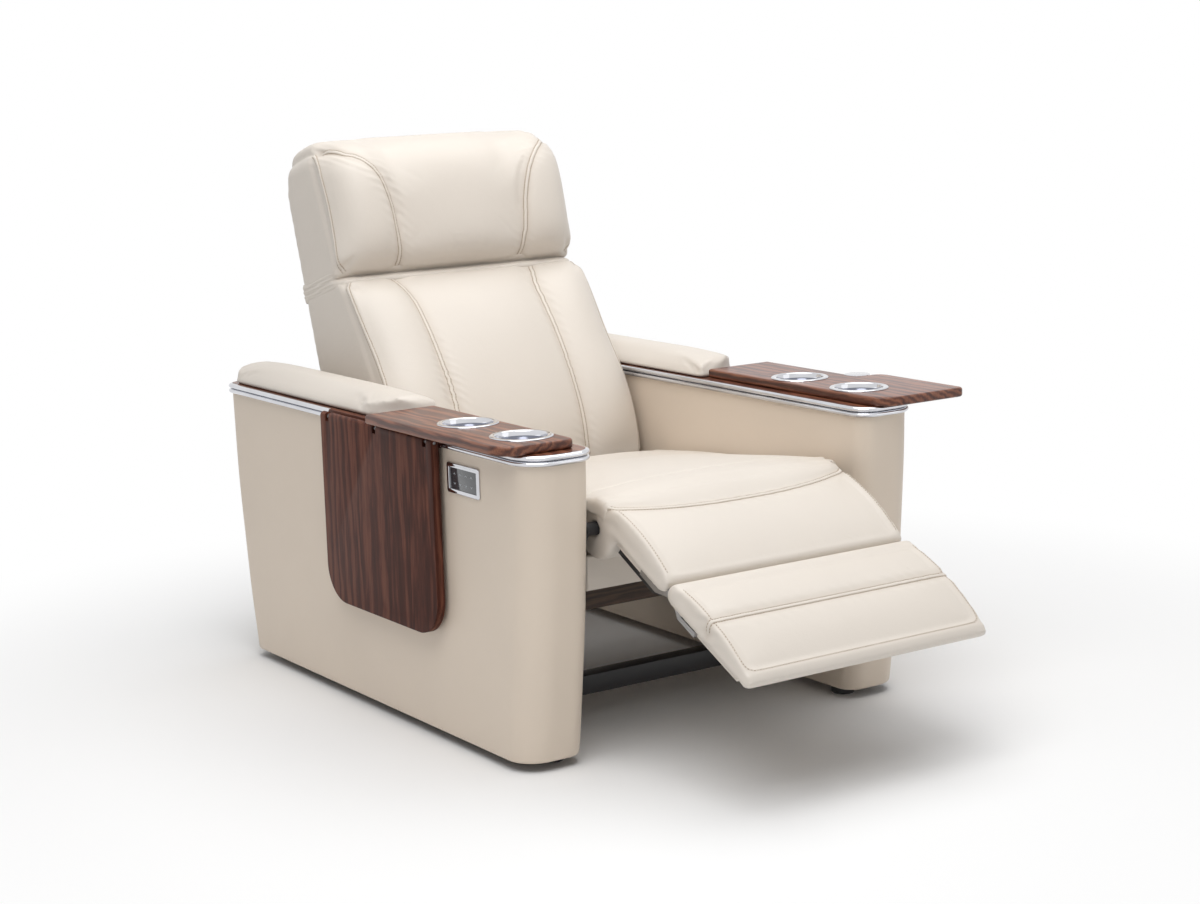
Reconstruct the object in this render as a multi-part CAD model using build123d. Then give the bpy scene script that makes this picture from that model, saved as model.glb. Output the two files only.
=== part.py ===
from build123d import *
import math
import os

# Power recliner with wooden tray tops, a drop leaf and a two-panel footrest.
# Millimetres. While it is built, x = 0 is the middle plane, the chair faces -Y, y = 0 is the
# front of the arm tops and z = 0 is the floor. Left and right are those of the person seated.

# Driving sizes of the chair
seat_opening = 600.0
arm_width = 130.0
arm_length = 1170.0
arm_body_top = 552.0
floor_gap = 18.0
back_half_width = 282.0
back_lean = 16.5
leg_half_width = 265.0
leg_slope = 28.0
overrun = 40.0
running_gap = 1.0

inner_face = seat_opening / 2
outer_face = inner_face + arm_width


def at_x(x):
    """Places side-view points (y, z) on the plane at x."""
    return lambda y, z: (x, y, z)


def at_z(z):
    """Places plan points (x, y) on the plane at z."""
    return lambda x, y: (x, y, z)


def outline(place, start, *steps):
    """A closed face. A step is a point for a straight side, or (through, end) for an arc."""
    edges = []
    here = start
    for step in steps:
        if isinstance(step[0], tuple):
            through, end = step
            edges.append(ThreePointArc(place(*here), place(*through), place(*end)))
        else:
            end = step
            edges.append(Line(place(*here), place(*end)))
        here = end
    if here != start:
        edges.append(Line(place(*here), place(*start)))
    return make_face(edges)


def across(place_at, x_low, x_high, start, *steps):
    """A side-view outline made solid from x_low to x_high."""
    face = outline(place_at(x_low), start, *steps)
    return extrude(face, amount=x_high - x_low, dir=(1, 0, 0))


def upward(z_low, z_high, start, *steps):
    """A plan outline made solid from z_low to z_high."""
    return extrude(outline(at_z(z_low), start, *steps), amount=z_high - z_low, dir=(0, 0, 1))


def block(x_low, x_high, y_low, y_high, z_low, z_high):
    """A plain block between two corners."""
    size = (x_high - x_low, y_high - y_low, z_high - z_low)
    return Pos(x_low, y_low, z_low) * Box(*size, align=(Align.MIN, Align.MIN, Align.MIN))


def rod_x(radius, x_low, x_high, y, z):
    """A round bar along x."""
    bar = Cylinder(radius, x_high - x_low, align=(Align.CENTER, Align.CENTER, Align.MIN))
    return Pos(x_low, y, z) * Rot(0, 90, 0) * bar


def rod_y(radius, y_low, y_high, x, z):
    """A round bar along y."""
    bar = Cylinder(radius, y_high - y_low, align=(Align.CENTER, Align.CENTER, Align.MIN))
    return Pos(x, y_low, z) * Rot(-90, 0, 0) * bar


def rod_z(radius, z_low, z_high, x, y):
    """A round bar along z."""
    bar = Cylinder(radius, z_high - z_low, align=(Align.CENTER, Align.CENTER, Align.MIN))
    return Pos(x, y, z_low) * bar


def mirrored(shape):
    """The same piece on the other side of the chair."""
    return mirror(shape, about=Plane.YZ)


def both(shape):
    """A piece and its mirror image, as one group."""
    return [shape, mirrored(shape)]


def rounded_plan(x_low, x_high, y_low, y_high, radii, z_low, z_high):
    """A plan rectangle with its own radius at each corner: front inner, front outer,
    rear outer, rear inner."""
    fi, fo, ro, ri = radii
    k = 1 - math.sqrt(0.5)
    return upward(
        z_low, z_high,
        (x_low + fi, y_low),
        (x_high - fo, y_low),
        ((x_high - k * fo, y_low + k * fo), (x_high, y_low + fo)),
        (x_high, y_high - ro),
        ((x_high - k * ro, y_high - k * ro), (x_high - ro, y_high)),
        (x_low + ri, y_high),
        ((x_low + k * ri, y_high - k * ri), (x_low, y_high - ri)),
        (x_low, y_low + fi),
        ((x_low + k * fi, y_low + k * fi), (x_low + fi, y_low)),
    )


# Arms: a hollow upholstered body, a top board inside a chrome band, and frame ribs within
arm_front_lean = 50.0
arm_front_bulge = 9.0
arm_rear_lean = 59.0
arm_rear_bulge = 12.0
arm_wall = 9.0
arm_corner_radii = (35.0, 55.0, 30.0, 20.0)
band_height = 20.0
band_reach = 8.0
bead_radius = 4.0
board_top = arm_body_top + band_height
arm_mid_height = (arm_body_top + floor_gap) / 2


def arm_side():
    """Side outline of the arm: front and rear lean in towards the floor in shallow arcs."""
    front_mid = arm_front_lean / 2 - arm_front_bulge
    rear_mid = arm_length - arm_rear_lean / 2 + arm_rear_bulge
    return (
        (0.0, arm_body_top),
        ((front_mid, arm_mid_height), (arm_front_lean, floor_gap)),
        (arm_length - arm_rear_lean, floor_gap),
        ((rear_mid, arm_mid_height), (arm_length, arm_body_top)),
    )


# Cups in the trays
cup_centre_x = 378.0
cup_centres_y = (283.5, 105.0)
cup_mouth_radius = 47.0
cup_body_radius = 41.0
cup_wall = 1.5
cup_depth = 74.0
cup_flange_radius = 56.0
cup_flange_height = 2.5
tray_thickness = 18.0
tray_top = board_top + tray_thickness
cup_hole_gap = 0.5


def make_arm_shell():
    """Leather over a thin moulded shell, open below, with holes for the cups in its top."""
    solid = across(at_x, inner_face, outer_face, *arm_side())
    front_inner, front_outer, rear_outer, rear_inner = arm_corner_radii
    pick = [
        (front_inner, True, inner_face),
        (front_outer, True, outer_face),
        (rear_outer, False, outer_face),
        (rear_inner, False, inner_face),
    ]
    for radius, is_front, side in pick:
        tall = solid.edges().filter_by(lambda e: e.bounding_box().size.Z > arm_mid_height)
        tall = tall.filter_by(lambda e: (e.center().Y < arm_length / 2) == is_front)
        tall = tall.sort_by(lambda e: abs(e.center().X - side))
        solid = fillet(tall[0], radius).solid()
    inside = rounded_plan(
        inner_face + arm_wall, outer_face - arm_wall,
        arm_front_lean + arm_wall, arm_length - arm_rear_lean - arm_wall,
        tuple(radius - arm_wall for radius in arm_corner_radii),
        floor_gap - overrun, arm_body_top - arm_wall,
    )
    solid = solid - inside
    for y in cup_centres_y:
        hole = rod_z(cup_body_radius + cup_hole_gap, arm_body_top - overrun,
                     arm_body_top + overrun, cup_centre_x, y)
        solid = solid - hole
    return solid


def make_arm_board():
    """Plywood top of the arm, inside the band, with the cup holes."""
    solid = rounded_plan(inner_face, outer_face, 0.0, arm_length, arm_corner_radii,
                         arm_body_top, board_top)
    for y in cup_centres_y:
        solid = solid - rod_z(cup_body_radius + cup_hole_gap, arm_body_top - overrun,
                              board_top + overrun, cup_centre_x, y)
    return solid


def make_band():
    """Polished band of two half-round beads round the arm top."""
    radii = tuple(r + band_reach for r in arm_corner_radii)
    rings = []
    for count in range(2):
        low = arm_body_top + count * band_height / 2
        ring = rounded_plan(inner_face - band_reach, outer_face + band_reach, -band_reach,
                            arm_length + band_reach, radii, low, low + band_height / 2)
        ring = chamfer(ring.faces().sort_by(Axis.Z)[-1].edges(), bead_radius / 2)
        ring = chamfer(ring.faces().sort_by(Axis.Z)[0].edges(), bead_radius / 2)
        rings.append(ring)
    solid = rings[0] + rings[1]
    return solid - rounded_plan(inner_face, outer_face, 0.0, arm_length, arm_corner_radii,
                                arm_body_top - overrun, board_top + overrun)


# Arm frame: two uprights and two rails inside each arm, standing on the glides
frame_bar = 40.0
frame_front_y = 88.0
frame_rear_inset = 160.0
frame_top_gap = 60.0
frame_rear_y = arm_length - frame_rear_inset
glide_radius = 22.0
glide_height = floor_gap


def make_arm_frame():
    """Ladder of square bars inside the arm, glued to its inner wall."""
    low = inner_face + arm_wall
    rail_low = floor_gap
    rail_top = arm_body_top - arm_wall - frame_top_gap
    upright_low = rail_low + frame_bar
    bars = block(low, low + frame_bar, frame_front_y, frame_rear_y, rail_low, upright_low)
    bars += block(low, low + frame_bar, frame_rear_y - frame_bar, frame_rear_y, upright_low, rail_top)
    middle = (frame_front_y + frame_rear_y) / 2
    bars += block(low, low + frame_bar, middle, middle + frame_bar, upright_low, rail_top)
    bars += block(low, low + frame_bar, middle, frame_rear_y, rail_top - frame_bar, rail_top)
    bars += block(low, low + frame_bar, frame_front_y, frame_front_y + frame_bar,
                  upright_low, rail_top - 2 * frame_bar - cup_depth)
    return bars


def make_glides():
    """Two black glides under each arm frame."""
    x = inner_face + arm_wall + frame_bar / 2 + glide_radius / 4
    glides = []
    for y in (frame_front_y + glide_radius, frame_rear_y - glide_radius):
        glide = rod_z(glide_radius, 0.0, glide_height, x, y)
        glides.append(glide)
        glides.append(mirrored(glide))
    return glides


# Trays: walnut tops over the front of the arms
tray_inner_x = 320.0
tray_outer_x = 470.0
tray_rear_y = 503.0
tray_front_y = 24.0
tray_edge_round = 5.0
tray_corner_radii = (14.0, 46.0, 8.0, 8.0)
wide_tray_front_y = -30.0
wide_tray_outer_x = 525.0
wide_tray_lobe_y = 214.0
wide_tray_inner_round = 60.0
wide_tray_tip_round = 14.0
wide_tray_rear_round = 24.0
post_x = 486.0
post_y = 238.0
post_cap_radius = 25.0
post_cap_height = 6.0
post_radius = 10.0
post_foot_height = 8.0
post_notch_gap = 1.5


def with_cup_holes(solid):
    """Cuts the mouths of the two cups through a tray."""
    for y in cup_centres_y:
        solid = solid - rod_z(cup_mouth_radius + cup_hole_gap, board_top - overrun,
                              tray_top + overrun, cup_centre_x, y)
    return solid


def softened(solid, size):
    """Rounds the upper and lower rims of a board before anything is cut in it."""
    solid = fillet(solid.faces().sort_by(Axis.Z)[-1].edges(), size)
    return fillet(solid.faces().sort_by(Axis.Z)[0].edges(), size)


def make_tray_right():
    """Plain tray, its outer front corner rounded; the drop leaf hangs beside it."""
    solid = rounded_plan(tray_inner_x, tray_outer_x, tray_front_y, tray_rear_y,
                         tray_corner_radii, board_top, tray_top)
    return mirrored(with_cup_holes(softened(solid, tray_edge_round)))


def make_tray_left():
    """Wider tray whose front swells outwards into a ledge, notched round the capped post."""
    k = 1 - math.sqrt(0.5)
    wi, wt, wr = wide_tray_inner_round, wide_tray_tip_round, wide_tray_rear_round
    solid = upward(
        board_top, tray_top,
        (tray_inner_x + wi, wide_tray_front_y),
        (wide_tray_outer_x - wt, wide_tray_front_y),
        ((wide_tray_outer_x - k * wt, wide_tray_front_y + k * wt),
         (wide_tray_outer_x, wide_tray_front_y + wt)),
        (wide_tray_outer_x, wide_tray_lobe_y - wr),
        ((wide_tray_outer_x - k * wr, wide_tray_lobe_y - k * wr),
         (wide_tray_outer_x - wr, wide_tray_lobe_y)),
        (tray_outer_x, wide_tray_lobe_y),
        (tray_outer_x, tray_rear_y),
        (tray_inner_x, tray_rear_y),
        (tray_inner_x, wide_tray_front_y + wi),
        ((tray_inner_x + k * wi, wide_tray_front_y + k * wi),
         (tray_inner_x + wi, wide_tray_front_y)),
    )
    solid = with_cup_holes(softened(solid, tray_edge_round))
    return solid - rod_z(post_cap_radius + post_notch_gap, board_top - overrun,
                         tray_top + overrun, post_x, post_y)


def make_tray_post():
    """Chrome post with a flat cap, on a foot that is screwed to the side of the arm."""
    foot_low = arm_body_top - post_foot_height
    solid = block(outer_face, post_x, post_y - post_radius, post_y + post_radius,
                  foot_low - post_foot_height, foot_low)
    solid += rod_z(post_radius, foot_low - post_foot_height, tray_top - post_cap_height,
                   post_x, post_y)
    cap = rod_z(post_cap_radius, tray_top - post_cap_height, tray_top, post_x, post_y)
    return solid + cap


def make_cups():
    """Two polished cups with a flat flange, a tapered mouth and a rounded foot."""
    cups = []
    mouth, body = cup_mouth_radius, cup_body_radius
    for y in cup_centres_y:
        top = tray_top + cup_flange_height
        low = top - cup_depth
        place = lambda r, z: (cup_centre_x + r, y, z)
        section = outline(
            place, (0.0, low),
            (body - cup_wall, low),
            (body, low + cup_wall),
            (body, board_top),
            (mouth, board_top + tray_thickness / 2),
            (mouth, tray_top),
            (cup_flange_radius, tray_top),
            (cup_flange_radius, tray_top + cup_flange_height / 2),
            (cup_flange_radius - cup_flange_height, top),
            (mouth - cup_wall, top),
            (mouth - cup_wall, board_top + tray_thickness / 2),
            (body - cup_wall, board_top),
            (body - cup_wall, low + 2 * cup_wall),
            (body - 2 * cup_wall, low + cup_wall),
            (0.0, low + cup_wall),
        )
        cups.append(revolve(section, Axis((cup_centre_x, y, 0), (0, 0, 1)), 360))
    return cups


# Arm pads behind the trays
pad_front_y = 507.0
pad_rear_gap = 6.0
pad_rear_y = arm_length - pad_rear_gap
pad_edge_gap = 2.0
pad_crown_top = 614.0
pad_side_height = 26.0
pad_front_radius = 96.0
pad_corner_radii = (14.0, pad_front_radius, 40.0, 24.0)
pad_end_round = 30.0
pad_rear_dip = 8.0


def make_arm_pad():
    """Soft pad: crowned across, its ends rolled down, its outer front corner cut back."""
    x_low, x_high = inner_face + pad_edge_gap, outer_face - pad_edge_gap
    middle = (x_low + x_high) / 2
    shoulder = board_top + pad_side_height
    crown = outline(
        lambda x, z: (x, pad_front_y - overrun, z),
        (x_low + pad_edge_gap, board_top),
        (x_high - pad_edge_gap, board_top),
        ((x_high, board_top + pad_side_height / 2), (x_high - pad_edge_gap, shoulder)),
        ((middle, pad_crown_top), (x_low + pad_edge_gap, shoulder)),
        ((x_low, board_top + pad_side_height / 2), (x_low + pad_edge_gap, board_top)),
    )
    solid = extrude(crown, amount=pad_rear_y - pad_front_y + 2 * overrun, dir=(0, 1, 0))
    plan = rounded_plan(x_low, x_high, pad_front_y, pad_rear_y, pad_corner_radii,
                        board_top, pad_crown_top + overrun)
    k = 1 - math.sqrt(0.5)
    side = across(
        at_x, x_low, x_high,
        (pad_front_y, board_top),
        (pad_rear_y - pad_rear_dip, board_top),
        ((pad_rear_y, shoulder), (pad_rear_y - pad_end_round, pad_crown_top)),
        (pad_front_y + pad_end_round, pad_crown_top),
        ((pad_front_y + k * pad_end_round, pad_crown_top - k * pad_end_round),
         (pad_front_y, pad_crown_top - pad_end_round)),
    )
    return solid & plan & side


# Drop leaf on the outside of the right arm
leaf_front_y = 284.0
leaf_rear_y = 705.0
leaf_thickness = 16.0
leaf_low = 205.0
leaf_corner_radius = 70.0
leaf_axis_x = 448.0
leaf_under_tray = 2.0
leaf_axis_z = board_top - leaf_under_tray - leaf_thickness / 2
leaf_pin_radius = 3.0
leaf_bore_gap = 0.4
lug_width = 12.0
lug_gap = 0.6
lug_thickness = 9.0
lug_shares = (0.06, 0.5, 0.94)
rail_reach = 7.0
rail_end_gap = 1.0


def lug_places():
    """Centres along y of the three hinge lugs."""
    return [leaf_front_y + share * (leaf_rear_y - leaf_front_y) for share in lug_shares]


def make_side_leaf():
    """Walnut leaf with a rounded top edge, two round lower corners and notches for the lugs."""
    half = leaf_thickness / 2
    k = 1 - math.sqrt(0.5)
    c = leaf_corner_radius
    face = outline(
        lambda y, z: (leaf_axis_x - half, y, z),
        (leaf_front_y, leaf_axis_z),
        (leaf_front_y, leaf_low + c),
        ((leaf_front_y + k * c, leaf_low + k * c), (leaf_front_y + c, leaf_low)),
        (leaf_rear_y - c, leaf_low),
        ((leaf_rear_y - k * c, leaf_low + k * c), (leaf_rear_y, leaf_low + c)),
        (leaf_rear_y, leaf_axis_z),
    )
    solid = extrude(face, amount=leaf_thickness, dir=(1, 0, 0))
    solid += rod_y(half, leaf_front_y, leaf_rear_y, leaf_axis_x, leaf_axis_z)
    solid = solid - rod_y(leaf_pin_radius + leaf_bore_gap, leaf_front_y - overrun,
                          leaf_rear_y + overrun, leaf_axis_x, leaf_axis_z)
    for y in lug_places():
        notch = block(leaf_axis_x - leaf_thickness, leaf_axis_x + leaf_thickness,
                      y - lug_width / 2 - lug_gap, y + lug_width / 2 + lug_gap,
                      leaf_axis_z - half - lug_gap, leaf_axis_z + leaf_thickness)
        solid = solid - notch
    return mirrored(solid)


def make_leaf_rail():
    """Walnut rail that takes the place of the band behind the leaf."""
    rail = block(outer_face, outer_face + rail_reach, leaf_front_y, leaf_rear_y,
                 arm_body_top, board_top)
    return mirrored(rail)


def make_leaf_hinge():
    """Steel pin in three lugs that stand out from the rail."""
    pin = rod_y(leaf_pin_radius, leaf_front_y + rail_end_gap, leaf_rear_y - rail_end_gap,
                leaf_axis_x, leaf_axis_z)
    for y in lug_places():
        half = lug_thickness / 2
        pin += block(outer_face + rail_reach, leaf_axis_x, y - lug_width / 2, y + lug_width / 2,
                     leaf_axis_z - half, leaf_axis_z + half)
        pin += rod_y(half, y - lug_width / 2, y + lug_width / 2, leaf_axis_x, leaf_axis_z)
    return mirrored(pin)


def make_band_right():
    """The band, interrupted where the leaf rail is."""
    gap = block(outer_face, outer_face + 2 * band_reach, leaf_front_y - rail_end_gap,
                leaf_rear_y + rail_end_gap, arm_body_top - overrun, board_top + overrun)
    return mirrored(make_band() - gap)


# Control panel in the outer face of the right arm
panel_front_y = 162.0
panel_rear_y = 271.0
panel_low = 475.0
panel_high = 530.0
bezel_width = 8.0
bezel_proud = 4.0
bezel_corner = 5.0
glass_thickness = 2.5
control_box_depth = 13.0
control_gap = 0.5


def panel_block(inset, x_low, x_high):
    """A block in the place of the panel, drawn in all round by the inset."""
    return block(x_low, x_high, panel_front_y + inset, panel_rear_y - inset,
                 panel_low + inset, panel_high - inset)


def make_bezel():
    """Chrome frame round the glass, with rounded corners and a bevelled rim."""
    solid = panel_block(0.0, outer_face, outer_face + bezel_proud)
    solid = fillet(solid.edges().filter_by(Axis.X), bezel_corner)
    solid = chamfer(solid.faces().sort_by(Axis.X)[-1].edges(), bezel_proud / 3)
    return mirrored(solid - panel_block(bezel_width, outer_face - overrun, outer_face + overrun))


def make_control_glass():
    """Dark touch glass inside the frame."""
    return mirrored(panel_block(bezel_width, outer_face, outer_face + glass_thickness))


def make_control_box():
    """Electronics box behind the glass, through a cut-out in the arm."""
    return mirrored(panel_block(bezel_width + control_gap, outer_face - control_box_depth,
                                outer_face))


def make_arm_shell_right():
    """Right arm body with the cut-out for the control box."""
    cut = panel_block(bezel_width, outer_face - control_box_depth - overrun, outer_face + overrun)
    return mirrored(make_arm_shell() - cut)


# Footrest pivot, frame of the moving mechanism and the seat
pivot_y = 60.0
pivot_z = 418.0
roll_radius = 57.0
plate_x = 286.0
plate_thickness = 4.0
pin_radius = 6.0
pin_bore_gap = 0.3
pin_reach = 24.0
tube_end_gap = 1.0
recline_y = 770.0
recline_z = 390.0
plate_low = 200.0
eye_radius = 20.0


def make_side_plates():
    """Steel plate each side that carries the pivots of the legrest and of the back."""
    e = eye_radius
    web_top = (pivot_z + seat_frame_low) / 2
    plate = across(
        at_x, plate_x, plate_x + plate_thickness,
        (pivot_y - e, pivot_z),
        ((pivot_y, pivot_z + e), (pivot_y + e, pivot_z)),
        (pivot_y + 2 * e, web_top),
        (recline_y - 2 * e, web_top),
        (recline_y - e, recline_z),
        ((recline_y, recline_z + e), (recline_y + e, recline_z)),
        (recline_y + e, plate_low + e),
        (recline_y, plate_low),
        (pivot_y + 4 * e, plate_low),
        (pivot_y + 2 * e, seat_frame_low),
    )
    spacer_low = plate_x + plate_thickness
    for y in (pivot_y + 6 * e, recline_y - 3 * e):
        plate += rod_x(e / 2, spacer_low, inner_face, y, seat_frame_low)
    return both(plate)


def make_pivot_pins():
    """Shouldered pins that are riveted in the side plates and reach into the two tubes."""
    pins = []
    for y, z in ((pivot_y, pivot_z), (recline_y, recline_z)):
        pins += both(rod_x(pin_radius, plate_x - pin_reach, plate_x, y, z))
    return pins


# Seat: frame, springs, board and cushion
seat_frame_low = 300.0
seat_frame_height = 40.0
seat_frame_bar = 30.0
seat_front_y = 125.0
seat_rear_y = 640.0
seat_core_half_width = 266.0
seat_half_width = 292.0
seat_front_top = 478.0
seat_rear_top = 412.0
seat_side_low = 446.0
seat_crown = 12.0
seat_end_round = 34.0
drive_notch_high = 325.0
seat_side_round = 30.0
spring_radius = 2.5
spring_count = 7
spring_rows = 5


def make_seat_frame():
    """Wooden box of four rails that is screwed between the side plates."""
    top = seat_frame_low + seat_frame_height
    outer = block(-plate_x, plate_x, seat_front_y, seat_rear_y, seat_frame_low, top)
    bar = seat_frame_bar
    inner = block(-plate_x + bar, plate_x - bar, seat_front_y + bar, seat_rear_y - bar,
                  seat_frame_low - overrun, top + overrun)
    notch = block(-apron_notch_half, apron_notch_half, seat_front_y - overrun,
                  seat_front_y + bar + overrun / 8, seat_frame_low - overrun, drive_notch_high)
    return outer - inner - notch


def make_seat_springs():
    """Sinuous springs from front to rear, let into the top of the frame."""
    springs = []
    top = seat_frame_low + seat_frame_height
    low_y, high_y = seat_front_y + seat_frame_bar / 3, seat_rear_y - seat_frame_bar / 3
    pitch = (high_y - low_y) / (2 * spring_rows)
    spacing = 2 * (plate_x - 2 * seat_frame_bar) / spring_count
    swing = spacing / 3
    for count in range(spring_count):
        x = (count - (spring_count - 1) / 2) * spacing
        wires = []
        for step in range(2 * spring_rows):
            side = swing if step % 2 == 0 else -swing
            start = (x, low_y + step * pitch, top + spring_radius)
            end = (x, low_y + (step + 1) * pitch, top + spring_radius)
            through = (x + side, low_y + (step + 0.5) * pitch, top + spring_radius)
            wires.append(ThreePointArc(start, through, end))
        path = Wire(wires)
        ring = Plane(origin=path @ 0, z_dir=path % 0) * Circle(spring_radius)
        springs.append(sweep(ring, path=path, transition=Transition.RIGHT))
    return springs


def seat_top(y):
    """Height of the straight line from the rear to the front of the seat."""
    share = (seat_rear_y - y) / (seat_rear_y - pivot_y)
    return seat_rear_top + share * (seat_front_top - seat_rear_top)


def make_seat_cushion():
    """Chaise seat: crowned across, sides drawn in, front hollowed round the footrest roll."""
    low = seat_frame_low + seat_frame_height + 2 * spring_radius
    wide, core = seat_half_width, seat_core_half_width
    drawn = seat_side_round / 6
    front_place = lambda x, z: (x, pivot_y - overrun, z)
    rise = seat_top(pivot_y - overrun)
    fall = seat_top(seat_rear_y + overrun)
    face = outline(
        front_place,
        (-core, low - 2 * overrun),
        (core, low - 2 * overrun),
        (core, seat_side_low),
        (wide - drawn, seat_side_low),
        ((wide, (seat_side_low + rise) / 2), (wide - seat_side_round, rise)),
        ((0.0, rise + seat_crown), (seat_side_round - wide, rise)),
        ((-wide, (seat_side_low + rise) / 2), (drawn - wide, seat_side_low)),
        (-core, seat_side_low),
    )
    run = seat_rear_y - pivot_y + 2 * overrun
    slope = math.atan2(fall - rise, run)
    solid = extrude(face, amount=run / math.cos(slope), dir=(0, math.cos(slope), math.sin(slope)))
    r = seat_end_round
    k = 1 - math.sqrt(0.5)
    top = seat_rear_top + seat_crown
    side = across(
        at_x, -wide, wide,
        (seat_front_y, low),
        (seat_rear_y, low),
        (seat_rear_y, top - r),
        ((seat_rear_y - k * r, top - k * r), (seat_rear_y - r, top)),
        (seat_rear_y - 2 * r, top + r),
        (seat_rear_y - 3 * r, seat_front_top + 2 * seat_crown),
        (pivot_y + r, seat_front_top + 2 * seat_crown),
        (pivot_y, seat_front_top + seat_crown),
        (pivot_y, seat_side_low),
        (seat_front_y, seat_side_low),
    )
    roll = rod_x(roll_radius + running_gap, -core - overrun / 4, core + overrun / 4,
                 pivot_y, pivot_z)
    return solid & side - roll


# Upholstered apron under the front of the seat, in two halves beside the drive lever
apron_front_y = 90.0
apron_thickness = 12.0
apron_low = 298.0
apron_high = 362.0
apron_half_width = 262.0
apron_notch_half = 34.0
apron_round = 5.0
rail_front_y = 104.0
rail_depth = 21.0
rail_low = 262.0


def make_apron():
    """Two padded panels with soft edges."""
    panel = block(apron_notch_half, apron_half_width, apron_front_y,
                  apron_front_y + apron_thickness, apron_low, apron_high)
    front = panel.faces().sort_by(Axis.Y)[0].edges()
    return both(fillet(front, apron_round))


def make_cross_rail():
    """Hardwood rail behind the apron, screwed to the side plates and the seat frame."""
    rail_y = apron_front_y + apron_thickness
    solid = block(-plate_x, plate_x, rail_y, seat_front_y, rail_low, seat_frame_low)
    solid += block(apron_notch_half, plate_x, rail_y, seat_front_y, seat_frame_low,
                   seat_frame_low + seat_frame_height)
    solid += block(-plate_x, -apron_notch_half, rail_y, seat_front_y, seat_frame_low,
                   seat_frame_low + seat_frame_height)
    notch = block(-apron_notch_half, apron_notch_half, rail_y - overrun, seat_front_y + overrun,
                  rail_low + rail_depth / 2, seat_frame_low + overrun)
    return solid - notch


# Base tubes between the arms
base_tube = 36.0
base_low = 56.0
base_front_y = 250.0
base_rear_inset = 170.0
base_rear_y = arm_length - base_rear_inset
base_wall = 2.5


def make_base_tube(y):
    """Square steel tube from arm to arm."""
    outer = block(-inner_face, inner_face, y, y + base_tube, base_low, base_low + base_tube)
    w = base_wall
    inner = block(-inner_face - overrun, inner_face + overrun, y + w, y + base_tube - w,
                  base_low + w, base_low + base_tube - w)
    return outer - inner


# Legrest, in its own frame: u runs outwards from the pivot along the pad, n is square to it
leg_pad_thickness = 40.0
leg_pad_crown = 14.0
leg_length = 199.0
leg_surface = roll_radius
leg_pad_low = leg_surface - leg_pad_thickness
leg_board_thickness = 12.0
leg_board_start = 58.0
leg_board_end_gap = 10.0
leg_board_inset = 12.0
arm_bar_x = 236.0
arm_bar_thickness = 5.0
arm_bar_depth = 22.0
leg_tube_radius = 12.0
leg_hub_radius = 18.0
lever_half_width = 8.0
lever_gap = 9.0
leg_lever_radius = 125.0
leg_lever_lean = 14.0
lever_bar = 24.0
crank_pin_radius = 6.0
crank_pin_half = 24.0


def leg_frame(x):
    """Places points of the legrest (u, n) at rest."""
    slope = math.radians(leg_slope)
    return lambda u, n: (
        x,
        pivot_y - u * math.cos(slope) - n * math.sin(slope),
        pivot_z - u * math.sin(slope) + n * math.cos(slope),
    )


end_radius = leg_pad_thickness / 2
hinge_u = leg_length + 2 * end_radius + running_gap
hinge_n = leg_surface - end_radius


def make_leg_pad():
    """Pad with a roll at the seat end, a crowned top and a rounded far end."""
    w = leg_half_width
    roll = rod_x(roll_radius, -w, w, pivot_y, pivot_z)
    middle_u = leg_length / 2
    slab = across(
        leg_frame, -w, w,
        (0.0, leg_pad_low),
        (leg_length, leg_pad_low),
        ((leg_length + end_radius, hinge_n), (leg_length, leg_surface)),
        ((middle_u, leg_surface + leg_pad_crown), (0.0, leg_surface)),
    )
    solid = roll + slab
    slot = lug_slot(leg_frame, leg_length - 2 * leg_pad_thickness / 3, hinge_u, leg_pad_low - overrun,
                    hinge_n + foot_eye + running_gap)
    solid = solid - slot - mirrored(slot)
    solid = solid - rod_x(leg_tube_radius, -w - overrun, w + overrun, pivot_y, pivot_z)
    return solid


def leg_slots(solid):
    """Slots in the pad for the two arm bars, the lever and the hinge lugs."""
    for low in (arm_bar_x, -arm_bar_x - arm_bar_thickness):
        solid = solid - rod_x(leg_hub_radius, low - running_gap, low + arm_bar_thickness + running_gap,
                              pivot_y, pivot_z)
        solid = solid - across(
            leg_frame, low - running_gap, low + arm_bar_thickness + running_gap,
            (0.0, leg_pad_low), (leg_board_start, leg_pad_low),
            (leg_board_start, -roll_radius - overrun), (0.0, -roll_radius - overrun),
        )
    lever = lever_half_width + lever_gap
    solid = solid - rod_x(leg_hub_radius, -lever, lever, pivot_y, pivot_z)
    cut = across(
        at_x, -lever, lever,
        (pivot_y - roll_radius, pivot_z), (pivot_y + roll_radius, pivot_z),
        (pivot_y + roll_radius, pivot_z - 2 * roll_radius),
        (pivot_y - roll_radius, pivot_z - 2 * roll_radius),
    )
    return solid - cut


def make_leg_board():
    """Plywood board under the pad, upholstered below."""
    w = leg_half_width - leg_board_inset
    high = leg_pad_low
    low = high - leg_board_thickness
    end = leg_length - leg_board_end_gap
    board = across(
        leg_frame, -w, w,
        (leg_board_start, low), (end, low), (end, high), (leg_board_start, high),
    )
    return board


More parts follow.
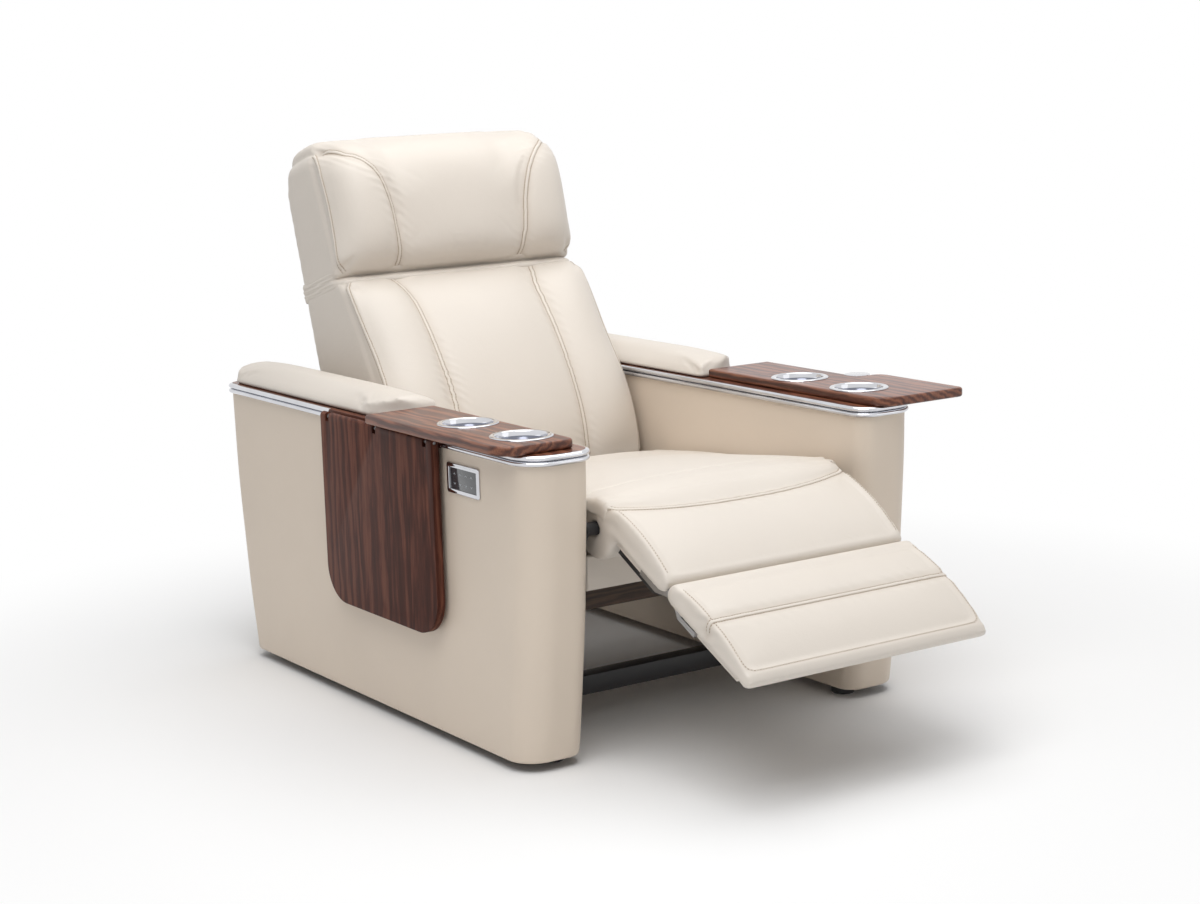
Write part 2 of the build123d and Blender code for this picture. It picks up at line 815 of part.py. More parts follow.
def make_leg_arms():
    """Tube on the pivot pins with two bars to the board and the drive lever welded on."""
    tube_end = plate_x - tube_end_gap
    solid = rod_x(leg_tube_radius, -tube_end, tube_end, pivot_y, pivot_z)
    low = leg_pad_low - leg_board_thickness
    bar_low = low - arm_bar_depth
    end = leg_length - leg_board_end_gap
    for x in (arm_bar_x, -arm_bar_x - arm_bar_thickness):
        solid += rod_x(leg_hub_radius, x, x + arm_bar_thickness, pivot_y, pivot_z)
        solid += across(
            leg_frame, x, x + arm_bar_thickness,
            (0.0, low), (end, low), (end, bar_low + arm_bar_depth / 2),
            (end - arm_bar_depth, bar_low), (0.0, bar_low),
        )
    lean = math.radians(leg_lever_lean)
    along = (-math.sin(lean), -math.cos(lean))
    side = (math.cos(lean), -math.sin(lean))
    half = lever_bar / 2

    def lever_point(reach, aside):
        return (pivot_y + reach * along[0] + aside * side[0],
                pivot_z + reach * along[1] + aside * side[1])

    lever = across(
        at_x, -lever_half_width, lever_half_width,
        lever_point(0.0, -half), lever_point(leg_lever_radius, -half),
        (lever_point(leg_lever_radius + half, 0.0), lever_point(leg_lever_radius, half)),
        lever_point(0.0, half),
    )
    pin_y, pin_z = lever_point(leg_lever_radius, 0.0)
    solid += lever
    solid += rod_x(crank_pin_radius, -crank_pin_half, crank_pin_half, pin_y, pin_z)
    for x_low, x_high in ((-tube_end - overrun, -plate_x + pin_reach + tube_end_gap),
                          (plate_x - pin_reach - tube_end_gap, tube_end + overrun)):
        solid = solid - rod_x(pin_radius + pin_bore_gap, x_low, x_high, pivot_y, pivot_z)
    return solid


# Foot panel, in its own frame: s runs outwards from its hinge, m is square to it
foot_slope = 30.5
foot_length = 234.0
foot_tip_high = 17.0
foot_tip_low = -3.0
foot_crown = 13.0
foot_tip_shoulder = 212.0
foot_board_thickness = 10.0
foot_board_start = 26.0
foot_board_end = 196.0
foot_lug_thickness = 3.0
foot_side_gap = 1.0
foot_eye = 8.0
foot_pin_radius = 3.5
lug_root = 50.0
bumper_x = 232.0
bumper_length = 24.0
bumper_width = 14.0
bumper_height = 8.0


def foot_frame(x):
    """Places points of the foot panel (s, m) at rest."""
    slope = math.radians(foot_slope)
    hinge = leg_frame(x)(hinge_u, hinge_n)
    return lambda s, m: (
        x,
        hinge[1] - s * math.cos(slope) - m * math.sin(slope),
        hinge[2] - s * math.sin(slope) + m * math.cos(slope),
    )


def foot_under(s):
    """Height of the straight underside of the foot pad at s."""
    return -end_radius + (foot_tip_low + end_radius) * s / foot_length


def make_foot_pad():
    """Pad with a rounded hinge end, a crowned top and a thinner rounded tip."""
    w = leg_half_width
    tip_mid = (foot_tip_high + foot_tip_low) / 2
    shoulder = foot_tip_shoulder
    crest = foot_length / 2
    pad = across(
        foot_frame, -w, w,
        (0.0, -end_radius),
        (shoulder, foot_under(shoulder)),
        ((foot_length, tip_mid), (shoulder, foot_tip_high + foot_tip_low + end_radius / 4)),
        ((crest, end_radius + foot_crown), (0.0, end_radius)),
        ((-end_radius, 0.0), (0.0, -end_radius)),
    )
    slot = lug_slot(foot_frame, -2 * end_radius, foot_board_start + lug_root + foot_eye,
                    -2 * end_radius, foot_eye + running_gap)
    return pad - slot - mirrored(slot)


def make_foot_board():
    """Board under the foot pad."""
    w = leg_half_width - leg_board_inset
    t = foot_board_thickness
    s_low, s_high = foot_board_start, foot_board_end
    return across(
        foot_frame, -w, w,
        (s_low, foot_under(s_low) - t), (s_high, foot_under(s_high) - t),
        (s_high, foot_under(s_high)), (s_low, foot_under(s_low)),
    )


def make_leg_lugs():
    """Steel lug on each edge of the leg board, with the hinge pin of the foot panel."""
    end = leg_length - leg_board_end_gap
    low, high = leg_pad_low - leg_board_thickness, leg_pad_low
    r = foot_eye
    x = leg_half_width - leg_board_inset
    lug = across(
        leg_frame, x, x + foot_lug_thickness,
        (end - lug_root, low), (end, low), (hinge_u, hinge_n - r),
        ((hinge_u + r, hinge_n), (hinge_u, hinge_n + r)),
        (end - foot_eye, high), (end - lug_root, high),
    )
    spot = leg_frame(0.0)(hinge_u, hinge_n)
    pin_end = x + 2 * foot_lug_thickness + foot_side_gap
    return both(lug + rod_x(foot_pin_radius, x, pin_end, spot[1], spot[2]))


def make_foot_lugs():
    """Steel lug on each edge of the foot board, turning on the hinge pin."""
    t = foot_board_thickness
    r = foot_eye
    s_low, s_high = foot_board_start, foot_board_start + lug_root
    x_board = leg_half_width - leg_board_inset
    x = x_board + foot_lug_thickness + foot_side_gap
    lug = across(
        foot_frame, x, x + foot_lug_thickness,
        (0.0, -r), (s_low, foot_under(s_low) - t), (s_high, foot_under(s_high) - t),
        (s_high, foot_under(s_high)), (s_low + r, foot_under(s_low)), (r, 0.0),
        ((0.0, r), (-r, 0.0)), ((-r * math.sqrt(0.5), -r * math.sqrt(0.5)), (0.0, -r)),
    )
    spot = foot_frame(0.0)(0.0, 0.0)
    lug = lug - rod_x(foot_pin_radius + pin_bore_gap, x - overrun, x + overrun, spot[1], spot[2])
    lug = lug + across(
        foot_frame, x_board, x,
        (s_low + r, foot_under(s_low + r) - t), (s_high, foot_under(s_high) - t),
        (s_high, foot_under(s_high)), (s_low + r, foot_under(s_low + r)),
    )
    return both(lug)


def lug_slot(place_at, near, far, low, high):
    """The room that the hinge lugs need in the end of a pad, on the left side."""
    x = leg_half_width - leg_board_inset
    x_high = x + 2 * foot_lug_thickness + 2 * foot_side_gap
    return across(place_at, x - foot_side_gap, x_high,
                  (near, low), (far, low), (far, high), (near, high))


def make_bumpers():
    """Rubber stops near the tip, under the board."""
    s_high = foot_board_end - bumper_height
    s_low = s_high - bumper_width
    t = foot_board_thickness
    bumper = across(
        foot_frame, bumper_x - bumper_length / 2, bumper_x + bumper_length / 2,
        (s_low, foot_under(s_low) - t - bumper_height),
        (s_high, foot_under(s_high) - t - bumper_height),
        (s_high, foot_under(s_high) - t), (s_low, foot_under(s_low) - t),
    )
    return both(bumper)


# Back, in its own frame: t runs up the rear face from its foot, d runs forwards from it
back_foot_y = 961.0
back_foot_z = 300.0
back_height = 464.0
neck_drop = 2.0
neck_t = back_height - neck_drop
neck_d = 145.0
back_depth_low = 285.0
back_depth_high = 150.0
shell_wall = 12.0
head_gap = 2.5
head_low = back_height + head_gap
head_high = 745.0


def back_frame_at(x):
    """Places points of the back (t, d) at rest."""
    lean = math.radians(back_lean)
    return lambda t, d: (
        x,
        back_foot_y + t * math.sin(lean) - d * math.cos(lean),
        back_foot_z + t * math.cos(lean) + d * math.sin(lean),
    )


def seat_plane_depth(t):
    """Depth of the board that the back cushions lie on."""
    return back_depth_low + (back_depth_high - back_depth_low) * t / back_height


back_board_thickness = 10.0
hinge_x = 123.0
hinge_reach = 15.0
hinge_eye = 9.0
hinge_pin = 4.0
hinge_plate = 4.0
hinge_gap = 1.0
pocket_half_width = 9.0
lug_length = 60.0
cushion_low = -15.0
cushion_gap = 1.0
centre_half = 147.0
bolster_share_rows = (
    (-0.032, 0.94, 0.97, 0.94),
    (0.04, 1.03, 1.03, 1.0),
    (0.29, 1.05, 1.13, 1.02),
    (0.59, 0.95, 1.02, 0.86),
    (0.82, 0.80, 0.875, 0.76),
    (0.985, 0.61, 0.64, 0.63),
)
centre_share_rows = (
    (-0.032, 0.94, 0.97),
    (0.04, 1.02, 1.06),
    (0.29, 1.07, 1.13),
    (0.59, 0.96, 1.04),
    (0.82, 0.80, 0.88),
    (0.985, 0.61, 0.65),
)
front_depth = back_depth_low


def bulged_section(t, x_low, x_high, low_depth, inner_depth, crest_depth, outer_depth):
    """A slice of a cushion square to the rear face: flat behind, bulged in front."""
    def place(x, d):
        return back_frame_at(x)(t, d)
    middle = (x_low + x_high) / 2
    return outline(
        place, (x_low, low_depth), (x_high, low_depth), (x_high, outer_depth),
        ((middle, crest_depth), (x_low, inner_depth)),
    )


def trimmed_behind(solid, plane_depth, low, high):
    """Cuts a cushion flat along the sloping board behind it."""
    return solid - across(
        back_frame_at, -back_half_width - overrun, back_half_width + overrun,
        (low - overrun, -overrun), (high + overrun, -overrun),
        (high + overrun, plane_depth(high + overrun)),
        (low - overrun, plane_depth(low - overrun)),
    )


def hinge_pockets(solid):
    """Pockets at the neck in which the two head hinges lie."""
    half = hinge_reach
    for x in (hinge_x, -hinge_x):
        solid = solid - across(
            back_frame_at, x - pocket_half_width, x + pocket_half_width,
            (neck_t - half, neck_d - half - hinge_reach / 2),
            (neck_t + 2 * half, neck_d - half - hinge_reach / 2),
            (neck_t + 2 * half, neck_d + half), (neck_t - half, neck_d + half),
        )
    return solid


def make_back_cushion():
    """Centre panel of the back: crowned, fullest at the small of the back."""
    slices = []
    for height_share, edge_share, crest_share in centre_share_rows:
        t = height_share * back_height
        edge = edge_share * front_depth
        crest = crest_share * front_depth
        slices.append(bulged_section(t, -centre_half, centre_half,
                                     seat_plane_depth(t) - back_board_thickness,
                                     edge, crest, edge))
    solid = trimmed_behind(loft(slices), seat_plane_depth, cushion_low, back_height)
    return hinge_pockets(solid)


def make_bolster():
    """Side bolster beside the centre panel."""
    slices = []
    for height_share, inner_share, crest_share, outer_share in bolster_share_rows:
        t = height_share * back_height
        slices.append(bulged_section(
            t, centre_half + cushion_gap, back_half_width,
            seat_plane_depth(t) - back_board_thickness,
            inner_share * front_depth, crest_share * front_depth, outer_share * front_depth))
    return trimmed_behind(loft(slices), seat_plane_depth, cushion_low, back_height)


def make_back_board():
    """Plywood behind the cushions, let in between the sides of the shell."""
    w = back_half_width - shell_wall
    low, high = cushion_low, neck_t - hinge_reach
    t = back_board_thickness
    return across(
        back_frame_at, -w, w,
        (low, seat_plane_depth(low) - t), (high, seat_plane_depth(high) - t),
        (high, seat_plane_depth(high)), (low, seat_plane_depth(low)),
    )


def make_back_shell():
    """Rear casing: a panel with two deep sides and a closed top, open to the front."""
    w = back_half_width
    low, high = cushion_low, back_height
    outer = across(
        back_frame_at, -w, w,
        (low, 0.0), (high, 0.0), (high, seat_plane_depth(high)), (low, seat_plane_depth(low)),
    )
    inner = across(
        back_frame_at, -w + shell_wall, w - shell_wall,
        (low - overrun, shell_wall), (high - shell_wall, shell_wall),
        (high - shell_wall, seat_plane_depth(high) - back_board_thickness),
        (high, seat_plane_depth(high) - back_board_thickness),
        (high, back_depth_low + overrun), (low - overrun, back_depth_low + overrun),
    )
    solid = outer - inner
    solid = solid - rod_x(back_tube_radius, -w - overrun, w + overrun, recline_y, recline_z)
    return hinge_pockets(solid)


# Steel frame of the back
frame_tube = 25.0
frame_half = 250.0
frame_depth = 100.0
frame_foot_t = 20.0
back_bracket_thickness = 5.0
back_tube_radius = 12.0
back_hub_radius = 18.0
back_lever_radius = 125.0
recline_mid = 6.5
bracket_reach = 60.0


def make_back_steel():
    """Two uprights and two cross tubes, with brackets to a tube on the recline pins."""
    half = frame_tube / 2
    high = back_height - 2 * shell_wall
    solid = None
    for x in (frame_half - frame_tube, -frame_half):
        upright = across(
            back_frame_at, x, x + frame_tube,
            (frame_foot_t, frame_depth - half), (high, frame_depth - half),
            (high, frame_depth + half), (frame_foot_t, frame_depth + half),
        )
        solid = upright if solid is None else solid + upright
    for t in (high - frame_tube, frame_foot_t, (high + frame_foot_t) / 2):
        solid += across(
            back_frame_at, -frame_half, frame_half,
            (t, frame_depth - half), (t + frame_tube, frame_depth - half),
            (t + frame_tube, frame_depth + half), (t, frame_depth + half),
        )
    tube_end = plate_x - tube_end_gap
    solid += rod_x(back_tube_radius, -tube_end, tube_end, recline_y, recline_z)
    corner = back_frame_at(0.0)(frame_foot_t, frame_depth)
    top = back_frame_at(0.0)(frame_foot_t + bracket_reach, frame_depth)
    for x in (frame_half - back_bracket_thickness, -frame_half):
        solid += across(
            at_x, x, x + back_bracket_thickness,
            (recline_y, recline_z - back_hub_radius), (corner[1], corner[2]),
            (top[1], top[2]), (recline_y, recline_z + back_hub_radius),
            ((recline_y - back_hub_radius, recline_z), (recline_y, recline_z - back_hub_radius)),
        )
    mid = math.radians(recline_mid)
    along = (math.sin(mid), -math.cos(mid))
    side = (math.cos(mid), math.sin(mid))
    bar = lever_bar / 2

    def lever_point(reach, aside):
        return (recline_y + reach * along[0] + aside * side[0],
                recline_z + reach * along[1] + aside * side[1])

    solid += across(
        at_x, back_lever_x - lever_half_width, back_lever_x + lever_half_width,
        lever_point(0.0, -bar), lever_point(back_lever_radius, -bar),
        (lever_point(back_lever_radius + bar, 0.0), lever_point(back_lever_radius, bar)),
        lever_point(0.0, bar),
    )
    pin_y, pin_z = lever_point(back_lever_radius, 0.0)
    solid += rod_x(crank_pin_radius, back_lever_x - crank_pin_half,
                   back_lever_x + crank_pin_half, pin_y, pin_z)
    for x_low, x_high in ((-tube_end - overrun, -plate_x + pin_reach + tube_end_gap),
                          (plate_x - pin_reach - tube_end_gap, tube_end + overrun)):
        solid = solid - rod_x(pin_radius + pin_bore_gap, x_low, x_high, recline_y, recline_z)
    return solid


# Head: a shell, a centre cushion and two wings, hinged at the front of the neck
head_height = head_high - head_low
head_depth_low = 150.0
head_depth_high = 112.0
head_front = 190.0
head_top_round = 36.0
head_crown_rise = 18.0
head_centre_share_rows = (
    (0.02, 0.86, 0.88),
    (0.10, 1.03, 1.10),
    (0.35, 1.12, 1.18),
    (0.70, 1.12, 1.18),
    (0.90, 1.00, 1.08),
    (1.06, 0.66, 0.72),
)
wing_share_rows = (
    (0.02, 0.86, 0.88, 0.82),
    (0.10, 1.02, 1.10, 0.95),
    (0.35, 1.12, 1.24, 0.90),
    (0.70, 1.12, 1.24, 0.90),
    (0.90, 1.00, 1.10, 0.82),
    (1.04, 0.66, 0.74, 0.62),
)


def head_plane_depth(t):
    """Depth of the plane between the head shell and its cushions."""
    return head_depth_low + (head_depth_high - head_depth_low) * (t - head_low) / head_height


def make_head_shell():
    """Rear casing of the headrest, rounded over the top and open towards its cushions."""
    w = back_half_width
    r = head_top_round
    k = 1 - math.sqrt(0.5)
    high = head_high + head_crown_rise
    outer = across(
        back_frame_at, -w, w,
        (head_low, 0.0), (high - r, 0.0),
        ((high - k * r, k * r), (high, r)),
        (high, head_plane_depth(high)), (head_low, head_plane_depth(head_low)),
    )
    low_in, high_in = head_low + shell_wall, high - shell_wall
    inner = across(
        back_frame_at, -w + shell_wall, w - shell_wall,
        (low_in, shell_wall), (high_in - r, shell_wall), (high_in, r),
        (high_in, head_depth_low + overrun), (low_in, head_depth_low + overrun),
    )
    return hinge_pockets(outer - inner)


def make_head_board():
    """Plywood in the mouth of the head shell, with its two hinge lugs bolted on behind."""
    w = back_half_width - shell_wall
    low, high = head_low + shell_wall, head_high + head_crown_rise - shell_wall
    b = back_board_thickness
    return hinge_pockets(across(
        back_frame_at, -w, w,
        (low, head_plane_depth(low) - b), (high, head_plane_depth(high) - b),
        (high, head_plane_depth(high)), (low, head_plane_depth(low)),
    ))


def make_head_lugs():
    """Steel lug each side, from the head board down to the neck pivot."""
    low = neck_t + 2 * hinge_reach
    high = low + lug_length
    b = back_board_thickness
    r = hinge_eye
    lug = across(
        back_frame_at, hinge_x + hinge_gap / 2, hinge_x + hinge_gap / 2 + hinge_plate,
        (neck_t, neck_d + r), (low, head_plane_depth(low) - b),
        (high, head_plane_depth(high) - b), (high, head_plane_depth(high) - b - r),
        (low, head_plane_depth(low) - b - r), (neck_t, neck_d - r),
        ((neck_t - r, neck_d), (neck_t, neck_d + r)),
    )
    lug = lug - neck_rod(hinge_pin + pin_bore_gap, hinge_x - overrun, hinge_x + overrun)
    return both(lug)


def neck_rod(radius, x_low, x_high):
    """A round bar along the neck pivot."""
    spot = back_frame_at(0.0)(neck_t, neck_d)
    return rod_x(radius, x_low, x_high, spot[1], spot[2])


def make_neck_brackets():
    """Steel bracket and pin each side, from the back frame up to the neck pivot."""
    r = hinge_eye
    high = back_height - 2 * shell_wall
    x_high = hinge_x - hinge_gap / 2
    bracket = across(
        back_frame_at, x_high - hinge_plate, x_high,
        (neck_t, neck_d - r), (high - frame_tube, frame_depth + frame_tube / 2),
        (high, frame_depth + frame_tube / 2), (neck_t + r / 2, neck_d - r),
        ((neck_t + r, neck_d), (neck_t, neck_d + r)), ((neck_t - r, neck_d), (neck_t, neck_d - r)),
    )
    bracket = bracket + neck_rod(hinge_pin, x_high - hinge_plate, hinge_x + hinge_plate + hinge_gap)
    return both(bracket)


def make_head_cushion():
    """Centre of the headrest."""
    slices = []
    for height_share, edge_share, crest_share in head_centre_share_rows:
        t = head_low + height_share * head_height
        slices.append(bulged_section(
            t, -centre_half, centre_half, head_plane_depth(t) - back_board_thickness,
            edge_share * head_front, crest_share * head_front, edge_share * head_front))
    return hinge_pockets(trimmed_behind(loft(slices), head_plane_depth, head_low, head_high))


def make_head_wing():
    """Wing beside the centre of the headrest."""
    slices = []
    for height_share, inner_share, crest_share, outer_share in wing_share_rows:
        t = head_low + height_share * head_height
        slices.append(bulged_section(
            t, centre_half + cushion_gap, back_half_width,
            head_plane_depth(t) - back_board_thickness,
            inner_share * head_front, crest_share * head_front, outer_share * head_front))
    return trimmed_behind(loft(slices), head_plane_depth, head_low, head_high)


# Actuators under the seat: a motor with a screw tube, and a rod with a slotted fork
actuator_tube_radius = 18.0
rod_radius = 8.0
rod_bore_gap = 0.4
rod_length = 150.0
motor_length = 90.0
motor_width = 60.0
motor_height = 60.0
motor_corner = 8.0
fork_wall = 8.0
fork_play = 1.5
fork_rise = 14.0
fork_half = 22.0
back_lever_x = 100.0
leg_stroke_in = 87.5
back_stroke_in = 56.0
actuator_board_low = 327.0
actuator_board_thickness = 12.0
actuator_board_front_y = 370.0
actuator_board_rear_y = 476.0
leg_rod_z = pivot_z - leg_lever_radius
back_rod_z = recline_z - back_lever_radius


def lever_pin_y(y, radius, lean):
    """Place along y of a lever's pin at rest."""
    return y + radius * math.sin(math.radians(lean))


leg_pin_y = lever_pin_y(pivot_y, leg_lever_radius, -leg_lever_lean)
back_pin_y = lever_pin_y(recline_y, back_lever_radius, recline_mid)
slot_half = crank_pin_radius + fork_play
fork_reach = slot_half + fork_wall
fork_throat = lever_bar + fork_wall
fork_length = fork_reach + fork_throat + fork_wall


def span(here, there):
    """Two places in rising order."""
    return min(here, there), max(here, there)


def make_rod(x, pin_y, rod_z, towards):
    """Fork with an upright slot in each cheek for a lever's pin, and the rod behind it."""
    inside = lever_half_width + running_gap
    z_low = rod_z - slot_half - fork_wall
    z_high = rod_z + fork_rise + crank_pin_radius + fork_wall
    y_low, y_high = span(pin_y - towards * fork_reach, pin_y + towards * fork_length)
    solid = block(x - fork_half, x + fork_half, y_low, y_high, z_low, z_high)
    y_low, y_high = span(pin_y - towards * (fork_reach + overrun),
                         pin_y + towards * (fork_length - fork_wall))
    solid = solid - block(x - inside, x + inside, y_low, y_high, z_low - overrun, z_high + overrun)
    solid = solid - block(x - fork_half - overrun, x + fork_half + overrun, pin_y - slot_half,
                          pin_y + slot_half, z_low + fork_wall, z_high - fork_wall)
    y_low, y_high = span(pin_y + towards * fork_length,
                         pin_y + towards * (fork_length + rod_length))
    return solid + rod_y(rod_radius, y_low, y_high, x, rod_z)


def make_actuator(x, pin_y, rod_z, towards, stroke_in):
    """Screw tube round the rod, with its motor box and a hanger up to the actuator board."""
    start = pin_y + towards * (fork_length + stroke_in)
    bore_end = start + towards * (rod_length + fork_wall)
    tube_end = bore_end + towards * fork_wall
    solid = rod_y(actuator_tube_radius, *span(start, tube_end), x, rod_z)
    solid = solid - rod_y(rod_radius + rod_bore_gap, *span(start - towards * overrun, bore_end),
                          x, rod_z)
    y_low, y_high = span(tube_end, tube_end + towards * motor_length)
    half = motor_width / 2
    motor = block(x - half, x + half, y_low, y_high, rod_z - motor_height / 2,
                  rod_z + motor_height / 2)
    motor = fillet(motor.edges().filter_by(Axis.Y), motor_corner)
    hanger = block(x - half / 2, x + half / 2, y_low + motor_length / 4,
                   y_high - motor_length / 4, rod_z + motor_height / 2, actuator_board_low)
    return solid + motor + hanger


def make_actuator_board():
    """Plywood across the seat frame that both actuators hang from."""
    half = plate_x - seat_frame_bar
    return block(-half, half, actuator_board_front_y, actuator_board_rear_y, actuator_board_low,
                 actuator_board_low + actuator_board_thickness)


# Build every piece, then move the chair so that its origin is the middle of its footprint
pieces = {
    "glides": make_glides(),
    "arm_frame_left": make_arm_frame(),
    "arm_frame_right": mirrored(make_arm_frame()),
    "arm_shell_left": make_arm_shell(),
    "arm_shell_right": make_arm_shell_right(),
    "arm_board_left": make_arm_board(),
    "arm_board_right": mirrored(make_arm_board()),
    "chrome_band_left": make_band(),
    "chrome_band_right": make_band_right(),
    "tray_left": make_tray_left(),
    "tray_right": make_tray_right(),
    "tray_post": make_tray_post(),
    "cup_holders_left": make_cups(),
    "cup_holders_right": [mirrored(cup) for cup in make_cups()],
    "arm_pad_left": make_arm_pad(),
    "arm_pad_right": mirrored(make_arm_pad()),
    "leaf_rail": make_leaf_rail(),
    "leaf_hinge": make_leaf_hinge(),
    "side_leaf": make_side_leaf(),
    "control_bezel": make_bezel(),
    "control_glass": make_control_glass(),
    "control_box": make_control_box(),
    "side_plates": make_side_plates(),
    "pivot_pins": make_pivot_pins(),
    "seat_frame": make_seat_frame(),
    "seat_springs": make_seat_springs(),
    "seat_cushion": make_seat_cushion(),
    "apron": make_apron(),
    "cross_rail": make_cross_rail(),
    "base_tube_front": make_base_tube(base_front_y),
    "base_tube_rear": make_base_tube(base_rear_y),
    "actuator_board": make_actuator_board(),
    "leg_actuator": make_actuator(0.0, leg_pin_y, leg_rod_z, 1, leg_stroke_in),
    "leg_rod": make_rod(0.0, leg_pin_y, leg_rod_z, 1),
    "back_actuator": make_actuator(back_lever_x, back_pin_y, back_rod_z, -1, back_stroke_in),
    "back_rod": make_rod(back_lever_x, back_pin_y, back_rod_z, -1),
    "leg_pad": leg_slots(make_leg_pad()),
    "leg_board": make_leg_board(),
    "leg_arms": make_leg_arms(),
    "leg_lugs": make_leg_lugs(),
    "foot_pad": make_foot_pad(),
    "foot_board": make_foot_board(),
    "foot_lugs": make_foot_lugs(),
    "foot_bumpers": make_bumpers(),
    "back_shell": make_back_shell(),
    "back_board": make_back_board(),
    "back_steel": make_back_steel(),
    "back_cushion": make_back_cushion(),
    "back_bolster_left": make_bolster(),
    "back_bolster_right": mirrored(make_bolster()),
    "neck_brackets": make_neck_brackets(),
    "head_shell": make_head_shell(),
    "head_board": make_head_board(),
    "head_lugs": make_head_lugs(),
    "head_cushion": make_head_cushion(),
    "head_wing_left": make_head_wing(),
    "head_wing_right": mirrored(make_head_wing()),
}

solids_of = {}
for name, made in pieces.items():
    group = made if isinstance(made, list) else [made]
    solids_of[name] = [solid for piece in group for solid in piece.solids()]

whole = Compound(children=[solid for group in solids_of.values() for solid in group])
reach = whole.bounding_box()
to_origin = Pos(-reach.center().X, -reach.center().Y, -reach.min.Z)

os.makedirs("parts", exist_ok=True)
for name, group in solids_of.items():
    moved = [to_origin * solid for solid in group]
    export_step(Compound(children=moved), f"parts/{name}.step")
    print(name, len(moved))
print("origin moved by", to_origin.position)
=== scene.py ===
import math
import bmesh
import bpy
import numpy as np
from mathutils import Matrix, Vector
from mathutils.bvhtree import BVHTree
from mathutils.kdtree import KDTree


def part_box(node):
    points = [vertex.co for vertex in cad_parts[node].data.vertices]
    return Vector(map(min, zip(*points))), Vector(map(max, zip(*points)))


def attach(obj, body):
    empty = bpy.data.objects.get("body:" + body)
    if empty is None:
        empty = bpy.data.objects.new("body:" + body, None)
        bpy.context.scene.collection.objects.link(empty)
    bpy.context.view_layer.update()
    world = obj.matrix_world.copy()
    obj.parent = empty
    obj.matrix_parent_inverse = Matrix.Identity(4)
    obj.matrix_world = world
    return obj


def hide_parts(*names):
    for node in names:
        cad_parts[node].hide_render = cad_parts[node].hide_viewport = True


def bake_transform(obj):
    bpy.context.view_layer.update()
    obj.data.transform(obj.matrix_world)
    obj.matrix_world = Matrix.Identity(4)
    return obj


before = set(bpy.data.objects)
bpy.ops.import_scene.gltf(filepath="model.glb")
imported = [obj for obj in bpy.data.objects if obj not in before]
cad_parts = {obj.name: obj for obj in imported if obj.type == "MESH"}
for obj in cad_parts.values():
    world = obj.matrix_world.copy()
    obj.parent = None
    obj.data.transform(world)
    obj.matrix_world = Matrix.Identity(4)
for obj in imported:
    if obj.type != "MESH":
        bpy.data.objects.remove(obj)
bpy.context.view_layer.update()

scene = bpy.context.scene
scene.view_settings.view_transform = "Standard"

# Studio: a pale floor without a horizon, one large soft lamp over the chair's right shoulder,
# a weaker one in front and an even pale sky, so that leather colours come out as they are.
MM = 0.001
ARM_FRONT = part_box("arm_board_left")[0].y
MIDDLE = (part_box("arm_board_left")[0].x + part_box("arm_board_right")[1].x) / 2


def spot(x, y, z):
    """Row frame point from chair millimetres: x from the middle, y from the arm fronts, z from the floor."""
    return Vector((MIDDLE + x * MM, ARM_FRONT + y * MM, z * MM))


def mesh_object(name, points, faces):
    """A mesh piece at the origin from points in the row frame."""
    data = bpy.data.meshes.new(name)
    data.from_pydata([tuple(p) for p in points], [], faces)
    data.update()
    piece = bpy.data.objects.new(name, data)
    scene.collection.objects.link(piece)
    return piece


def new_material(name, **fixed):
    """A material whose Principled shader has these plain socket values."""
    material = bpy.data.materials.new(name)
    material.use_nodes = True
    shader = material.node_tree.nodes["Principled BSDF"]
    for socket, value in fixed.items():
        shader.inputs[socket.replace("_", " ")].default_value = value
    return material, shader


def add_node(tree, kind, **settings):
    """A node of that kind with its properties or its input sockets set."""
    node = tree.nodes.new(kind)
    for key, value in settings.items():
        if hasattr(node, key):
            setattr(node, key, value)
        else:
            node.inputs[key.replace("_", " ")].default_value = value
    return node


def seen_directly(tree):
    """1 for rays of the camera and for those that metal and glass send on, so that they see the white too."""
    path = add_node(tree, "ShaderNodeLightPath")
    seen = path.outputs["Is Camera Ray"]
    for ray in ("Is Glossy Ray", "Is Transmission Ray"):
        either = add_node(tree, "ShaderNodeMath", operation="MAXIMUM")
        tree.links.new(seen, either.inputs[0])
        tree.links.new(path.outputs[ray], either.inputs[1])
        seen = either.outputs[0]
    return seen


FLOOR_COLOUR = (0.93, 0.93, 0.93, 1)
FLOOR_REACH = 30.0
FLOOR_MIDDLE = (0, 350, 0)
FADE_START, FADE_END = 0.75, 1.9
BACKGROUND = 1.0
SKY = 0.34
CAMERA_PLACE = (-2495.06, -3305.43, 1293.41)
CAMERA_AZIMUTH = math.radians(-33.75)
CAMERA_ELEVATION = math.radians(10.39)
CAMERA_ROLL = math.radians(-1.72)
CAMERA_LENS = 71.0
LAMPS = {
    "key_lamp": ((-1300, -900, 3300), 2.8, 62.0),
    "front_lamp": ((2300, -2600, 1500), 2.4, 6.0),
    "top_lamp": ((500, 500, 3300), 3.2, 52.0),
}
LAMP_AIM = (0, 450, 450)

